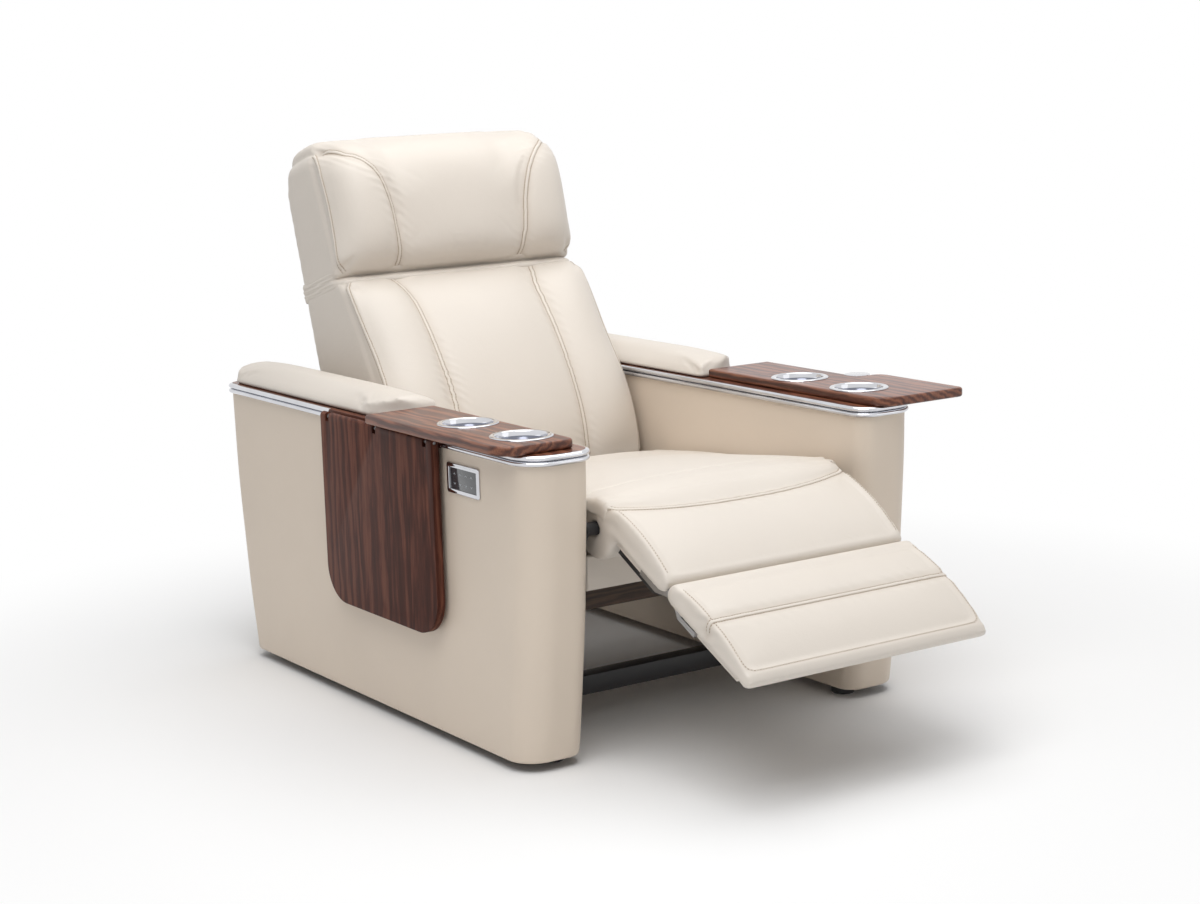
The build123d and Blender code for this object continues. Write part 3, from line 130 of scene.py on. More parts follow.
floor = mesh_object("studio_floor", [(-FLOOR_REACH, -FLOOR_REACH, 0), (FLOOR_REACH, -FLOOR_REACH, 0),
                                     (FLOOR_REACH, FLOOR_REACH, 0), (-FLOOR_REACH, FLOOR_REACH, 0)],
                    [(0, 1, 2, 3)])
floor_paper, paper = new_material("floor_paper", Base_Color=FLOOR_COLOUR, Roughness=0.9,
                                  Specular_IOR_Level=0.1)
floor_tree = floor_paper.node_tree
floor_place = add_node(floor_tree, "ShaderNodeTexCoord")
floor_distance = add_node(floor_tree, "ShaderNodeVectorMath", operation="DISTANCE")
floor_distance.inputs[1].default_value = spot(*FLOOR_MIDDLE)
floor_fade = add_node(floor_tree, "ShaderNodeMapRange", interpolation_type="SMOOTHSTEP", From_Min=FADE_START,
                      From_Max=FADE_END)
floor_white = add_node(floor_tree, "ShaderNodeEmission")
floor_far = add_node(floor_tree, "ShaderNodeMath", operation="MULTIPLY")
floor_mix = add_node(floor_tree, "ShaderNodeMixShader")
for a, b in ((floor_place.outputs["Object"], floor_distance.inputs[0]),
             (floor_distance.outputs["Value"], floor_fade.inputs["Value"]),
             (floor_fade.outputs[0], floor_far.inputs[0]),
             (seen_directly(floor_tree), floor_far.inputs[1]),
             (floor_far.outputs[0], floor_mix.inputs[0]), (paper.outputs[0], floor_mix.inputs[1]),
             (floor_white.outputs[0], floor_mix.inputs[2]),
             (floor_mix.outputs[0], floor_tree.nodes["Material Output"].inputs["Surface"])):
    floor_tree.links.new(a, b)
floor.data.materials.append(floor_paper)

world = bpy.data.worlds.new("pale_sky")
scene.world = world
world.use_nodes = True
sky_tree = world.node_tree
sky_tree.nodes.clear()
sky_light = add_node(sky_tree, "ShaderNodeBackground", Color=(1, 1, 1, 1), Strength=SKY)
sky_white = add_node(sky_tree, "ShaderNodeBackground", Color=(1, 1, 1, 1), Strength=BACKGROUND)
sky_mix = add_node(sky_tree, "ShaderNodeMixShader")
sky_out = add_node(sky_tree, "ShaderNodeOutputWorld")
for a, b in ((seen_directly(sky_tree), sky_mix.inputs[0]), (sky_light.outputs[0], sky_mix.inputs[1]),
             (sky_white.outputs[0], sky_mix.inputs[2]), (sky_mix.outputs[0], sky_out.inputs[0])):
    sky_tree.links.new(a, b)

aim = spot(*LAMP_AIM)
for lamp_name, (place, size, power) in LAMPS.items():
    light = bpy.data.lights.new(lamp_name, "AREA")
    light.shape = "DISK"
    light.size = size
    light.energy = power
    lamp = bpy.data.objects.new(lamp_name, light)
    lamp.location = spot(*place)
    lamp.rotation_euler = (aim - lamp.location).to_track_quat("-Z", "Y").to_euler()
    scene.collection.objects.link(lamp)

camera = bpy.data.objects.new("photo_camera", bpy.data.cameras.new("photo_camera"))
scene.collection.objects.link(camera)
camera_back = Vector((math.sin(CAMERA_AZIMUTH) * math.cos(CAMERA_ELEVATION),
                      -math.cos(CAMERA_AZIMUTH) * math.cos(CAMERA_ELEVATION),
                      math.sin(CAMERA_ELEVATION)))
level = (-camera_back).cross(Vector((0, 0, 1))).normalized()
upright = level.cross(-camera_back)
across_view = math.cos(CAMERA_ROLL) * level + math.sin(CAMERA_ROLL) * upright
up_view = math.cos(CAMERA_ROLL) * upright - math.sin(CAMERA_ROLL) * level
camera.matrix_world = Matrix.Translation(spot(*CAMERA_PLACE)) @ Matrix(
    (across_view, up_view, camera_back)).transposed().to_4x4()
camera.data.lens = CAMERA_LENS
camera.data.clip_end = 100.0
scene.camera = camera

# Arm frames and glides: hardwood ladders hidden in the arms, standing on black plastic glides.
# The frames are glued to the arm's inner wall and the glides are nailed up into them.


def new_group(name, takes, gives):
    """A shader node group with named inputs and outputs."""
    group = bpy.data.node_groups.new(name, "ShaderNodeTree")
    for socket, kind, value in takes:
        made = group.interface.new_socket(socket, in_out="INPUT", socket_type=kind)
        made.default_value = value
    for socket, kind in gives:
        group.interface.new_socket(socket, in_out="OUTPUT", socket_type=kind)
    return group, group.nodes.new("NodeGroupInput"), group.nodes.new("NodeGroupOutput")


wood_group, wood_in, wood_out = new_group(
    "wood_grain",
    [("Coordinates", "NodeSocketVector", (0, 0, 0)), ("Dark", "NodeSocketColor", (0.03, 0.01, 0.008, 1)),
     ("Middle", "NodeSocketColor", (0.1, 0.04, 0.02, 1)), ("Light", "NodeSocketColor", (0.2, 0.1, 0.06, 1)),
     ("Ring Size", "NodeSocketFloat", 26.0), ("Pore Depth", "NodeSocketFloat", 0.1),
     ("Gloss", "NodeSocketFloat", 0.3)],
    [("Color", "NodeSocketColor"), ("Roughness", "NodeSocketFloat"), ("Normal", "NodeSocketVector")])
g = wood_group
stretch = add_node(g, "ShaderNodeMapping", Scale=(0.12, 1, 1))
warp = add_node(g, "ShaderNodeTexNoise", Scale=9.0, Detail=3.0, Roughness=0.55)
bend = add_node(g, "ShaderNodeVectorMath", operation="MULTIPLY_ADD")
bend.inputs[1].default_value = (0.05, 0.05, 0.05)
rings = add_node(g, "ShaderNodeTexWave", wave_type="RINGS", rings_direction="X", Scale=26.0,
                 Distortion=5.5, Detail=3.0, Detail_Scale=2.2, Detail_Roughness=0.6)
fibre_map = add_node(g, "ShaderNodeMapping", Scale=(14, 900, 900))
fibre = add_node(g, "ShaderNodeTexNoise", Scale=1.0, Detail=4.0, Roughness=0.6)
streak_map = add_node(g, "ShaderNodeMapping", Scale=(1.2, 60, 60))
streak = add_node(g, "ShaderNodeTexNoise", Scale=1.0, Detail=5.0, Roughness=0.65)
mix_tone = add_node(g, "ShaderNodeMath", operation="MULTIPLY_ADD")
mix_tone.inputs[1].default_value = 0.42
half_streak = add_node(g, "ShaderNodeMath", operation="MULTIPLY")
half_streak.inputs[1].default_value = 0.62
low_tone = add_node(g, "ShaderNodeMix", data_type="RGBA")
high_tone = add_node(g, "ShaderNodeMix", data_type="RGBA")
low_range = add_node(g, "ShaderNodeMapRange", From_Min=0.2, From_Max=0.52)
high_range = add_node(g, "ShaderNodeMapRange", From_Min=0.48, From_Max=0.86)
pore_range = add_node(g, "ShaderNodeMapRange", From_Min=0.34, From_Max=0.5)
pore_dark = add_node(g, "ShaderNodeMix", data_type="RGBA", blend_type="MULTIPLY", Factor=0.55)
pore_colour = add_node(g, "ShaderNodeCombineColor")
rough = add_node(g, "ShaderNodeMath", operation="MULTIPLY_ADD")
rough.inputs[1].default_value = 0.14
grain_bump = add_node(g, "ShaderNodeBump", Distance=0.0004)
for a, b in (
    (wood_in.outputs["Coordinates"], stretch.inputs["Vector"]),
    (stretch.outputs[0], warp.inputs["Vector"]),
    (warp.outputs["Color"], bend.inputs[0]), (stretch.outputs[0], bend.inputs[2]),
    (bend.outputs[0], rings.inputs["Vector"]), (wood_in.outputs["Ring Size"], rings.inputs["Scale"]),
    (wood_in.outputs["Coordinates"], fibre_map.inputs["Vector"]),
    (fibre_map.outputs[0], fibre.inputs["Vector"]),
    (wood_in.outputs["Coordinates"], streak_map.inputs["Vector"]),
    (streak_map.outputs[0], streak.inputs["Vector"]),
    (streak.outputs[0], half_streak.inputs[0]), (rings.outputs["Fac"], mix_tone.inputs[0]),
    (half_streak.outputs[0], mix_tone.inputs[2]),
    (mix_tone.outputs[0], low_range.inputs["Value"]), (mix_tone.outputs[0], high_range.inputs["Value"]),
    (low_range.outputs[0], low_tone.inputs["Factor"]), (wood_in.outputs["Dark"], low_tone.inputs["A"]),
    (wood_in.outputs["Middle"], low_tone.inputs["B"]), (high_range.outputs[0], high_tone.inputs["Factor"]),
    (low_tone.outputs["Result"], high_tone.inputs["A"]), (wood_in.outputs["Light"], high_tone.inputs["B"]),
    (fibre.outputs[0], pore_range.inputs["Value"]), (high_tone.outputs["Result"], pore_dark.inputs["A"]),
    (pore_range.outputs[0], pore_colour.inputs[0]), (pore_range.outputs[0], pore_colour.inputs[1]),
    (pore_range.outputs[0], pore_colour.inputs[2]), (pore_colour.outputs[0], pore_dark.inputs["B"]),
    (pore_dark.outputs["Result"], wood_out.inputs["Color"]),
    (fibre.outputs[0], rough.inputs[0]), (wood_in.outputs["Gloss"], rough.inputs[2]),
    (rough.outputs[0], wood_out.inputs["Roughness"]),
    (pore_range.outputs[0], grain_bump.inputs["Height"]),
    (wood_in.outputs["Pore Depth"], grain_bump.inputs["Strength"]),
    (grain_bump.outputs[0], wood_out.inputs["Normal"]),
):
    g.links.new(a, b)


def wood_material(name, dark, middle, light, turn, ring_size, pores, gloss, **fixed):
    """Wood whose grain runs along the piece once its coordinates are turned."""
    material, shader = new_material(name, **fixed)
    tree = material.node_tree
    place = add_node(tree, "ShaderNodeTexCoord")
    turned = add_node(tree, "ShaderNodeMapping", Rotation=turn)
    grain = add_node(tree, "ShaderNodeGroup", node_tree=wood_group)
    for socket, value in (("Dark", dark), ("Middle", middle), ("Light", light), ("Ring Size", ring_size),
                          ("Pore Depth", pores), ("Gloss", gloss)):
        grain.inputs[socket].default_value = value if isinstance(value, float) else (*value, 1)
    tree.links.new(place.outputs["Object"], turned.inputs["Vector"])
    tree.links.new(turned.outputs[0], grain.inputs["Coordinates"])
    tree.links.new(grain.outputs["Color"], shader.inputs["Base Color"])
    tree.links.new(grain.outputs["Roughness"], shader.inputs["Roughness"])
    tree.links.new(grain.outputs["Normal"], shader.inputs["Normal"])
    return material


speckle_group, speckle_in, speckle_out = new_group(
    "fine_speckle",
    [("Color", "NodeSocketColor", (0.1, 0.1, 0.1, 1)), ("Scale", "NodeSocketFloat", 600.0),
     ("Depth", "NodeSocketFloat", 0.2), ("Roughness", "NodeSocketFloat", 0.4),
     ("Variation", "NodeSocketFloat", 0.1)],
    [("Color", "NodeSocketColor"), ("Roughness", "NodeSocketFloat"), ("Normal", "NodeSocketVector")])
g = speckle_group
speckle_place = add_node(g, "ShaderNodeTexCoord")
speckle = add_node(g, "ShaderNodeTexNoise", Detail=3.0)
cloudy = add_node(g, "ShaderNodeTexNoise", Scale=14.0, Detail=4.0)
speckle_rough = add_node(g, "ShaderNodeMath", operation="MULTIPLY_ADD")
speckle_tone = add_node(g, "ShaderNodeHueSaturation")
tone_value = add_node(g, "ShaderNodeMapRange", To_Min=0.8, To_Max=1.2)
speckle_bump = add_node(g, "ShaderNodeBump", Distance=0.0003)
for a, b in (
    (speckle_place.outputs["Object"], speckle.inputs["Vector"]),
    (speckle_in.outputs["Scale"], speckle.inputs["Scale"]),
    (speckle_place.outputs["Object"], cloudy.inputs["Vector"]),
    (cloudy.outputs[0], speckle_rough.inputs[0]),
    (speckle_in.outputs["Variation"], speckle_rough.inputs[1]),
    (speckle_in.outputs["Roughness"], speckle_rough.inputs[2]),
    (speckle_rough.outputs[0], speckle_out.inputs["Roughness"]),
    (cloudy.outputs[0], tone_value.inputs["Value"]),
    (tone_value.outputs[0], speckle_tone.inputs["Value"]),
    (speckle_in.outputs["Color"], speckle_tone.inputs["Color"]),
    (speckle_tone.outputs[0], speckle_out.inputs["Color"]),
    (speckle.outputs[0], speckle_bump.inputs["Height"]),
    (speckle_in.outputs["Depth"], speckle_bump.inputs["Strength"]),
    (speckle_bump.outputs[0], speckle_out.inputs["Normal"]),
):
    g.links.new(a, b)


def speckled_material(name, colour, scale, depth, roughness, variation, **fixed):
    """Plastic, paint or metal with a fine texture and cloudy gloss."""
    material, shader = new_material(name, **fixed)
    tree = material.node_tree
    texture = add_node(tree, "ShaderNodeGroup", node_tree=speckle_group)
    for socket, value in (("Color", (*colour, 1)), ("Scale", scale), ("Depth", depth),
                          ("Roughness", roughness), ("Variation", variation)):
        texture.inputs[socket].default_value = value
    for socket, target in (("Color", "Base Color"), ("Roughness", "Roughness"), ("Normal", "Normal")):
        tree.links.new(texture.outputs[socket], shader.inputs[target])
    return material


ALONG_Y = (0, 0, math.radians(90))
ALONG_Z = (0, math.radians(90), 0)
hardwood = wood_material("planed_hardwood", (0.20, 0.11, 0.06), (0.36, 0.22, 0.12), (0.46, 0.31, 0.19),
                         ALONG_Y, ring_size=40.0, pores=0.15, gloss=0.55)
black_plastic = speckled_material("textured_black_plastic", (0.035, 0.035, 0.036), scale=900.0, depth=0.35,
                                  roughness=0.42, variation=0.16)


def dress(node, material):
    """Gives a CAD node its finish."""
    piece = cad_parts[node]
    piece.data.materials.clear()
    piece.data.materials.append(material)


dress("arm_frame_left", hardwood)
dress("arm_frame_right", hardwood)


def copied(name, *nodes):
    """A merged copy of the meshes of some CAD nodes."""
    shape = bmesh.new()
    for node in nodes:
        shape.from_mesh(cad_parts[node].data)
    bmesh.ops.remove_doubles(shape, verts=shape.verts, dist=1e-6)
    data = bpy.data.meshes.new(name)
    shape.to_mesh(data)
    shape.free()
    piece = bpy.data.objects.new(name, data)
    scene.collection.objects.link(piece)
    return piece


def settle(piece):
    """Turns what the modifiers make into the piece's own mesh."""
    graph = bpy.context.evaluated_depsgraph_get()
    data = bpy.data.meshes.new_from_object(piece.evaluated_get(graph))
    piece.modifiers.clear()
    old = piece.data
    piece.data = data
    bpy.data.meshes.remove(old)
    return piece


def refined(name, node, material, body, bevel, sharp=35.0, segments=3):
    """A machined or moulded piece: the node's form with its edges broken and its curves smooth."""
    piece = copied(name, node)
    shape = bmesh.new()
    shape.from_mesh(piece.data)
    bmesh.ops.dissolve_limit(shape, angle_limit=math.radians(0.5), verts=shape.verts, edges=shape.edges)
    shape.to_mesh(piece.data)
    shape.free()
    if bevel:
        edge = piece.modifiers.new("broken_edges", "BEVEL")
        edge.width = bevel
        edge.segments = segments
        edge.limit_method = "ANGLE"
        edge.angle_limit = math.radians(sharp)
        edge.harden_normals = False
        settle(piece)
    piece.data.shade_smooth()
    piece.data.set_sharp_from_angle(angle=math.radians(sharp))
    piece.data.materials.clear()
    piece.data.materials.append(material)
    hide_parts(node)
    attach(piece, body)
    return piece


refined("glide_feet", "glides", black_plastic, "base", bevel=0.003)

# Arm bodies: cream leather drawn over a thin moulded shell, smooth and hollow from below.
# The front and the rear lean in towards the floor, and the hide is turned in round the lower rim.
hide_group, hide_in, hide_out = new_group(
    "leather_surface",
    [("Color", "NodeSocketColor", (0.7, 0.6, 0.5, 1)), ("Painted Shade Color", "NodeSocketColor", (0.5, 0.4, 0.3, 1)),
     ("Grain", "NodeSocketFloat", 820.0), ("Grain Depth", "NodeSocketFloat", 0.3),
     ("Wrinkle Depth", "NodeSocketFloat", 0.2), ("Roughness", "NodeSocketFloat", 0.45)],
    [("Color", "NodeSocketColor"), ("Roughness", "NodeSocketFloat"), ("Normal", "NodeSocketVector")])
g = hide_group
hide_place = add_node(g, "ShaderNodeTexCoord")
pebble = add_node(g, "ShaderNodeTexVoronoi", feature="SMOOTH_F1", Smoothness=0.6, Randomness=0.9)
pores = add_node(g, "ShaderNodeTexNoise", Scale=1600.0, Detail=2.0)
creasing = add_node(g, "ShaderNodeTexNoise", Scale=26.0, Detail=6.0, Roughness=0.62, Distortion=1.2)
mottle = add_node(g, "ShaderNodeTexNoise", Scale=5.0, Detail=3.0)
# The seam attribute paints shade: it mixes the hide towards the painted shade colour in seam grooves and
# folds.
sewn = add_node(g, "ShaderNodeAttribute", attribute_name="seam")
wear = add_node(g, "ShaderNodeMath", operation="MULTIPLY_ADD")
wear.inputs[1].default_value = 0.16
mottle_range = add_node(g, "ShaderNodeMapRange", To_Min=0.96, To_Max=1.035)
mottled = add_node(g, "ShaderNodeHueSaturation")
painted_shade_mix = add_node(g, "ShaderNodeMix", data_type="RGBA")
fine = add_node(g, "ShaderNodeMath", operation="MULTIPLY_ADD")
fine.inputs[1].default_value = 0.35
wrinkle = add_node(g, "ShaderNodeBump", Distance=0.004)
grain_normal = add_node(g, "ShaderNodeBump", Distance=0.00045)
for a, b in (
    (hide_place.outputs["Object"], pebble.inputs["Vector"]),
    (hide_in.outputs["Grain"], pebble.inputs["Scale"]),
    (hide_place.outputs["Object"], pores.inputs["Vector"]),
    (hide_place.outputs["Object"], creasing.inputs["Vector"]),
    (hide_place.outputs["Object"], mottle.inputs["Vector"]),
    (mottle.outputs[0], mottle_range.inputs["Value"]),
    (mottle_range.outputs[0], mottled.inputs["Value"]), (hide_in.outputs["Color"], mottled.inputs["Color"]),
    (mottled.outputs[0], painted_shade_mix.inputs["A"]), (hide_in.outputs["Painted Shade Color"], painted_shade_mix.inputs["B"]),
    (sewn.outputs["Fac"], painted_shade_mix.inputs["Factor"]), (painted_shade_mix.outputs["Result"], hide_out.inputs["Color"]),
    (creasing.outputs[0], wear.inputs[0]), (hide_in.outputs["Roughness"], wear.inputs[2]),
    (wear.outputs[0], hide_out.inputs["Roughness"]), (pores.outputs[0], fine.inputs[0]),
    (pebble.outputs["Distance"], fine.inputs[2]), (creasing.outputs[0], wrinkle.inputs["Height"]),
    (hide_in.outputs["Wrinkle Depth"], wrinkle.inputs["Strength"]),
    (fine.outputs[0], grain_normal.inputs["Height"]),
    (hide_in.outputs["Grain Depth"], grain_normal.inputs["Strength"]),
    (wrinkle.outputs[0], grain_normal.inputs["Normal"]),
    (grain_normal.outputs[0], hide_out.inputs["Normal"]),
):
    g.links.new(a, b)


def leather_material(name, colour, fold, grain_depth, wrinkle_depth, roughness):
    """Corrected-grain leather with a slight sheen, and painted shade in its folds and sewn edges where the
    seam attribute marks them.
    """
    material, shader = new_material(name, Coat_Weight=0.04, Coat_Roughness=0.35, Sheen_Weight=0.08,
                                    Sheen_Roughness=0.4)
    tree = material.node_tree
    hide = add_node(tree, "ShaderNodeGroup", node_tree=hide_group)
    for socket, value in (("Color", (*colour, 1)), ("Painted Shade Color", (*fold, 1)), ("Grain Depth", grain_depth),
                          ("Wrinkle Depth", wrinkle_depth), ("Roughness", roughness)):
        hide.inputs[socket].default_value = value
    for socket, target in (("Color", "Base Color"), ("Roughness", "Roughness"), ("Normal", "Normal")):
        tree.links.new(hide.outputs[socket], shader.inputs[target])
    return material


# The arms' copy of the cream is warmer and more saturated than the cushions': painted shade and bounce light
# on the arm sides.
ARM_CREAM_SHADE_TINT = (0.745, 0.640, 0.530)
# Painted shade colour for the seams' grooves and folds.
CREAM_PAINTED_SHADE = (0.33, 0.235, 0.145)
arm_leather = leather_material("cream_leather_taut", ARM_CREAM_SHADE_TINT, CREAM_PAINTED_SHADE, grain_depth=0.22,
                               wrinkle_depth=0.05, roughness=0.40)

ARM_INNER, ARM_OUTER = 300.0, 430.0
ARM_RADII = (35.0, 55.0, 30.0, 20.0)
ARM_TOP, ARM_FOOT = 552.0, 18.0
ARM_LENGTH = 1170.0
ARM_WALL = 9.0
FRONT_LEAN, FRONT_MID = 50.0, 16.0
REAR_LEAN, REAR_MID = 59.0, 17.5
HEM = 5.0
CORNER_STEPS = 10
SIDE_STEPS = (6, 70, 6, 70)
WALL_ROWS = 46


def plan_loop(x_low, x_high, y_low, y_high, radii, offset, side_steps):
    """Points of a rounded rectangle, offset outwards, from the front inner corner round by the outer side."""
    fi, fo, ro, ri = radii
    corners = ((x_low + fi, y_low + fi, fi, 180), (x_high - fo, y_low + fo, fo, 270),
               (x_high - ro, y_high - ro, ro, 0), (x_low + ri, y_high - ri, ri, 90))
    points = []
    for count, (x, y, radius, start) in enumerate(corners):
        reach = max(radius + offset, 0.5)
        arc = []
        for step in range(CORNER_STEPS + 1):
            angle = math.radians(start + 90 * step / CORNER_STEPS)
            arc.append((x + reach * math.cos(angle), y + reach * math.sin(angle)))
        points += arc
        after = corners[(count + 1) % 4]
        angle = math.radians(after[3])
        ahead = (after[0] + max(after[2] + offset, 0.5) * math.cos(angle),
                 after[1] + max(after[2] + offset, 0.5) * math.sin(angle))
        last = arc[-1]
        for step in range(1, side_steps[count]):
            share = step / side_steps[count]
            points.append((last[0] + share * (ahead[0] - last[0]), last[1] + share * (ahead[1] - last[1])))
    return points


def lofted(name, rings, closed_ends=(True, True)):
    """A skin through rings of equal count, each a list of row frame points."""
    count = len(rings[0])
    points = [p for ring in rings for p in ring]
    faces = []
    for row in range(len(rings) - 1):
        for step in range(count):
            ahead = (step + 1) % count
            faces.append((row * count + step, row * count + ahead, (row + 1) * count + ahead,
                          (row + 1) * count + step))
    if closed_ends[0]:
        faces.append(tuple(reversed(range(count))))
    if closed_ends[1]:
        faces.append(tuple(range((len(rings) - 1) * count, len(rings) * count)))
    return mesh_object(name, points, faces)


def outward(piece):
    """Merges doubles and turns all faces outwards."""
    shape = bmesh.new()
    shape.from_mesh(piece.data)
    bmesh.ops.remove_doubles(shape, verts=shape.verts, dist=1e-6)
    bmesh.ops.recalc_face_normals(shape, faces=shape.faces)
    shape.to_mesh(piece.data)
    shape.free()
    piece.data.update()
    return piece


def finish_piece(piece, material, slot, body, *nodes, sharp=None):
    """Smooth shading, finish, body and the nodes that the piece stands for."""
    piece.data.shade_smooth()
    if sharp:
        piece.data.set_sharp_from_angle(angle=math.radians(sharp))
    piece.data.materials.clear()
    piece.data.materials.append(material)
    if nodes:
        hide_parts(*nodes)
    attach(piece, body)
    return piece


def lean_at(z, whole, middle):
    """How far the arm's end has drawn in at height z, on an arc through its middle."""
    share = (ARM_TOP - z) / (ARM_TOP - ARM_FOOT)
    return share * whole + 4 * share * (1 - share) * (middle - whole / 2)


def arm_ring(side, z, inset):
    """Plan of the arm at height z, drawn in by the inset."""
    loop = plan_loop(ARM_INNER, ARM_OUTER, lean_at(z, FRONT_LEAN, FRONT_MID),
                     ARM_LENGTH - lean_at(z, REAR_LEAN, REAR_MID), ARM_RADII, -inset, SIDE_STEPS)
    ring = []
    for x, y in loop:
        wave = 0.7 * math.sin(y / 97.0 + z / 71.0) * math.sin(y / 53.0 - z / 83.0)
        swell = wave * min(1.0, (ARM_TOP - z) / 60.0) * min(1.0, (z - ARM_FOOT) / 60.0)
        out = 1 if x > (ARM_INNER + ARM_OUTER) / 2 else -1
        ring.append(spot(side * (x + out * (swell if inset <= 0 else 0)), y, z))
    return ring


def make_arm(name, side):
    """Closed skin: inside wall, turned hem at the floor side and the outer face up to the band."""
    rings = [arm_ring(side, ARM_TOP - ARM_WALL, ARM_WALL), arm_ring(side, ARM_FOOT + 2 * HEM, ARM_WALL),
             arm_ring(side, ARM_FOOT + HEM / 3, ARM_WALL - HEM / 2), arm_ring(side, ARM_FOOT, HEM / 2),
             arm_ring(side, ARM_FOOT + HEM / 3, HEM / 6)]
    for row in range(WALL_ROWS + 1):
        z = ARM_FOOT + HEM + (ARM_TOP - ARM_FOOT - HEM) * row / WALL_ROWS
        rings.append(arm_ring(side, z, 0.0))
    return outward(lofted(name, rings))


for side_name, side in (("left", 1), ("right", -1)):
    finish_piece(make_arm(f"arm_cover_{side_name}", side), arm_leather, "leather_cream", "base",
                 f"arm_shell_{side_name}", sharp=60)

# Arm tops: a polished band of two half-round beads runs round the board that closes each arm.
# The beads are one extrusion, bent to the corners and pinned; on the right arm it stops at the leaf.
chrome = speckled_material("polished_chrome", (0.64, 0.645, 0.675), scale=240.0, depth=0.012,
                           roughness=0.035, variation=0.05, Metallic=1.0)
BAND_HEIGHT = 20.0
BAND_REACH = 8.0
BEAD_STEPS = 9
BEAD_GROOVE, BEAD_INNER = 0.8, 0.3
RAIL_FRONT, RAIL_REAR = 283.0, 706.0


def bead_profile():
    """Offset and height of two half-round beads with a fine groove between them."""
    profile = [(BEAD_INNER, 0.0)]
    for bead in range(2):
        low = bead * BAND_HEIGHT / 2
        for step in range(BEAD_STEPS + 1):
            angle = math.pi * step / BEAD_STEPS
            profile.append((BEAD_GROOVE + (BAND_REACH - BEAD_GROOVE) * math.sin(angle),
                            low + BAND_HEIGHT / 4 * (1 - math.cos(angle))))
    profile.append((BEAD_INNER, BAND_HEIGHT))
    return profile


def make_band(name, side, gap):
    """The beaded band, whole or with a gap in the outer run."""
    rings = []
    for offset, height in bead_profile():
        loop = plan_loop(ARM_INNER, ARM_OUTER, 0.0, ARM_LENGTH, ARM_RADII, offset, SIDE_STEPS)
        if gap:
            last_front = max(i for i, (x, y) in enumerate(loop) if x > ARM_OUTER - 1 and y < RAIL_FRONT)
            first_rear = min(i for i, (x, y) in enumerate(loop) if x > ARM_OUTER - 1 and y > RAIL_REAR)
            end = (ARM_OUTER + offset, RAIL_FRONT)
            start = (ARM_OUTER + offset, RAIL_REAR)
            loop = [start] + loop[first_rear:] + loop[:last_front + 1] + [end]
        rings.append([spot(side * x, y, ARM_TOP + height) for x, y in loop])
    if not gap:
        columns = list(zip(*rings))
        columns.append(columns[0])
        return outward(lofted(name, columns, (False, False)))
    return outward(lofted(name, list(zip(*rings))))


for side_name, side, gap in (("left", 1, False), ("right", -1, True)):
    finish_piece(make_band(f"band_beads_{side_name}", side, gap), chrome, "polished_chrome", "base",
                 f"chrome_band_{side_name}", sharp=50)

# Tray tops: walnut-faced boards with softened edges under clear lacquer, screwed from below to the
# arm boards, which are faced alike. The left one swells into a ledge at the front and is notched
# round the capped post.
WALNUT_DARK = (0.050, 0.0150, 0.0095)
WALNUT_MID = (0.150, 0.048, 0.025)
WALNUT_LIGHT = (0.290, 0.112, 0.058)
LEAF_DARK = (0.040, 0.0110, 0.0065)
LEAF_MID = (0.095, 0.029, 0.018)
LEAF_LIGHT = (0.170, 0.062, 0.038)
walnut_tray = wood_material("lacquered_walnut_trays", WALNUT_DARK, WALNUT_MID, WALNUT_LIGHT, ALONG_Y,
                            ring_size=24.0, pores=0.06, gloss=0.34, Coat_Weight=0.3, Coat_Roughness=0.12,
                            Specular_IOR_Level=0.3)
dress("arm_board_left", walnut_tray)
dress("arm_board_right", walnut_tray)
for side_name in ("left", "right"):
    refined(f"tray_top_{side_name}", f"tray_{side_name}", walnut_tray, "base", bevel=0, sharp=32)

# Cup holders: deep-drawn steel, dropped into the tray's holes, with a flat polished flange on the
# tray and a drawn wall below it, coloured darker as painted shade in the cup's hollow. The post is a chrome
# tube with a flat cap, screwed to the arm.
TURN_STEPS = 96


def turned(name, profile, x, y):
    """A lathe form about an upright axis from (radius, height) points, open profiles meet the axis."""
    points, faces = [], []
    count = len(profile)
    for step in range(TURN_STEPS):
        angle = 2 * math.pi * step / TURN_STEPS
        for radius, height in profile:
            points.append(spot(x + radius * math.cos(angle), y + radius * math.sin(angle), height))
    for step in range(TURN_STEPS):
        ahead = (step + 1) % TURN_STEPS
        for row in range(count - 1):
            here, there = step * count + row, ahead * count + row
            faces.append((here, here + 1, there + 1, there))
    return outward(mesh_object(name, points, faces))


CUP_X = 378.0
CUP_YS = {"rear": 283.5, "front": 105.0}
TRAY_TOP = 590.0
FLANGE_TOP = 592.5
CUP_BOTTOM = 518.5
CUP_LIP = 583.0
cup_steel_painted_shade = speckled_material("cup_steel_with_painted_shade", (0.20, 0.21, 0.255), scale=240.0, depth=0.02,
                              roughness=0.10, variation=0.08, Metallic=1.0)
cup_profile = [(0.0, CUP_BOTTOM), (38.5, CUP_BOTTOM), (40.2, CUP_BOTTOM + 0.6), (41.0, CUP_BOTTOM + 2.4),
               (41.0, 571.5), (42.6, 574.5), (46.0, 580.0), (46.9, CUP_LIP), (46.9, TRAY_TOP + 0.1),
               (55.4, TRAY_TOP + 0.1), (56.0, TRAY_TOP + 0.7), (55.6, TRAY_TOP + 1.6),
               (54.2, FLANGE_TOP - 0.2),
               (52.0, FLANGE_TOP), (48.4, FLANGE_TOP), (46.6, FLANGE_TOP - 0.7), (45.6, FLANGE_TOP - 2.4),
               (45.4, CUP_LIP), (44.6, 580.5), (41.2, 575.0), (39.6, 571.0), (39.5, CUP_BOTTOM + 8.0),
               (38.6, CUP_BOTTOM + 4.4), (36.2, CUP_BOTTOM + 2.2), (33.0, CUP_BOTTOM + 1.6),
               (0.0, CUP_BOTTOM + 1.6)]
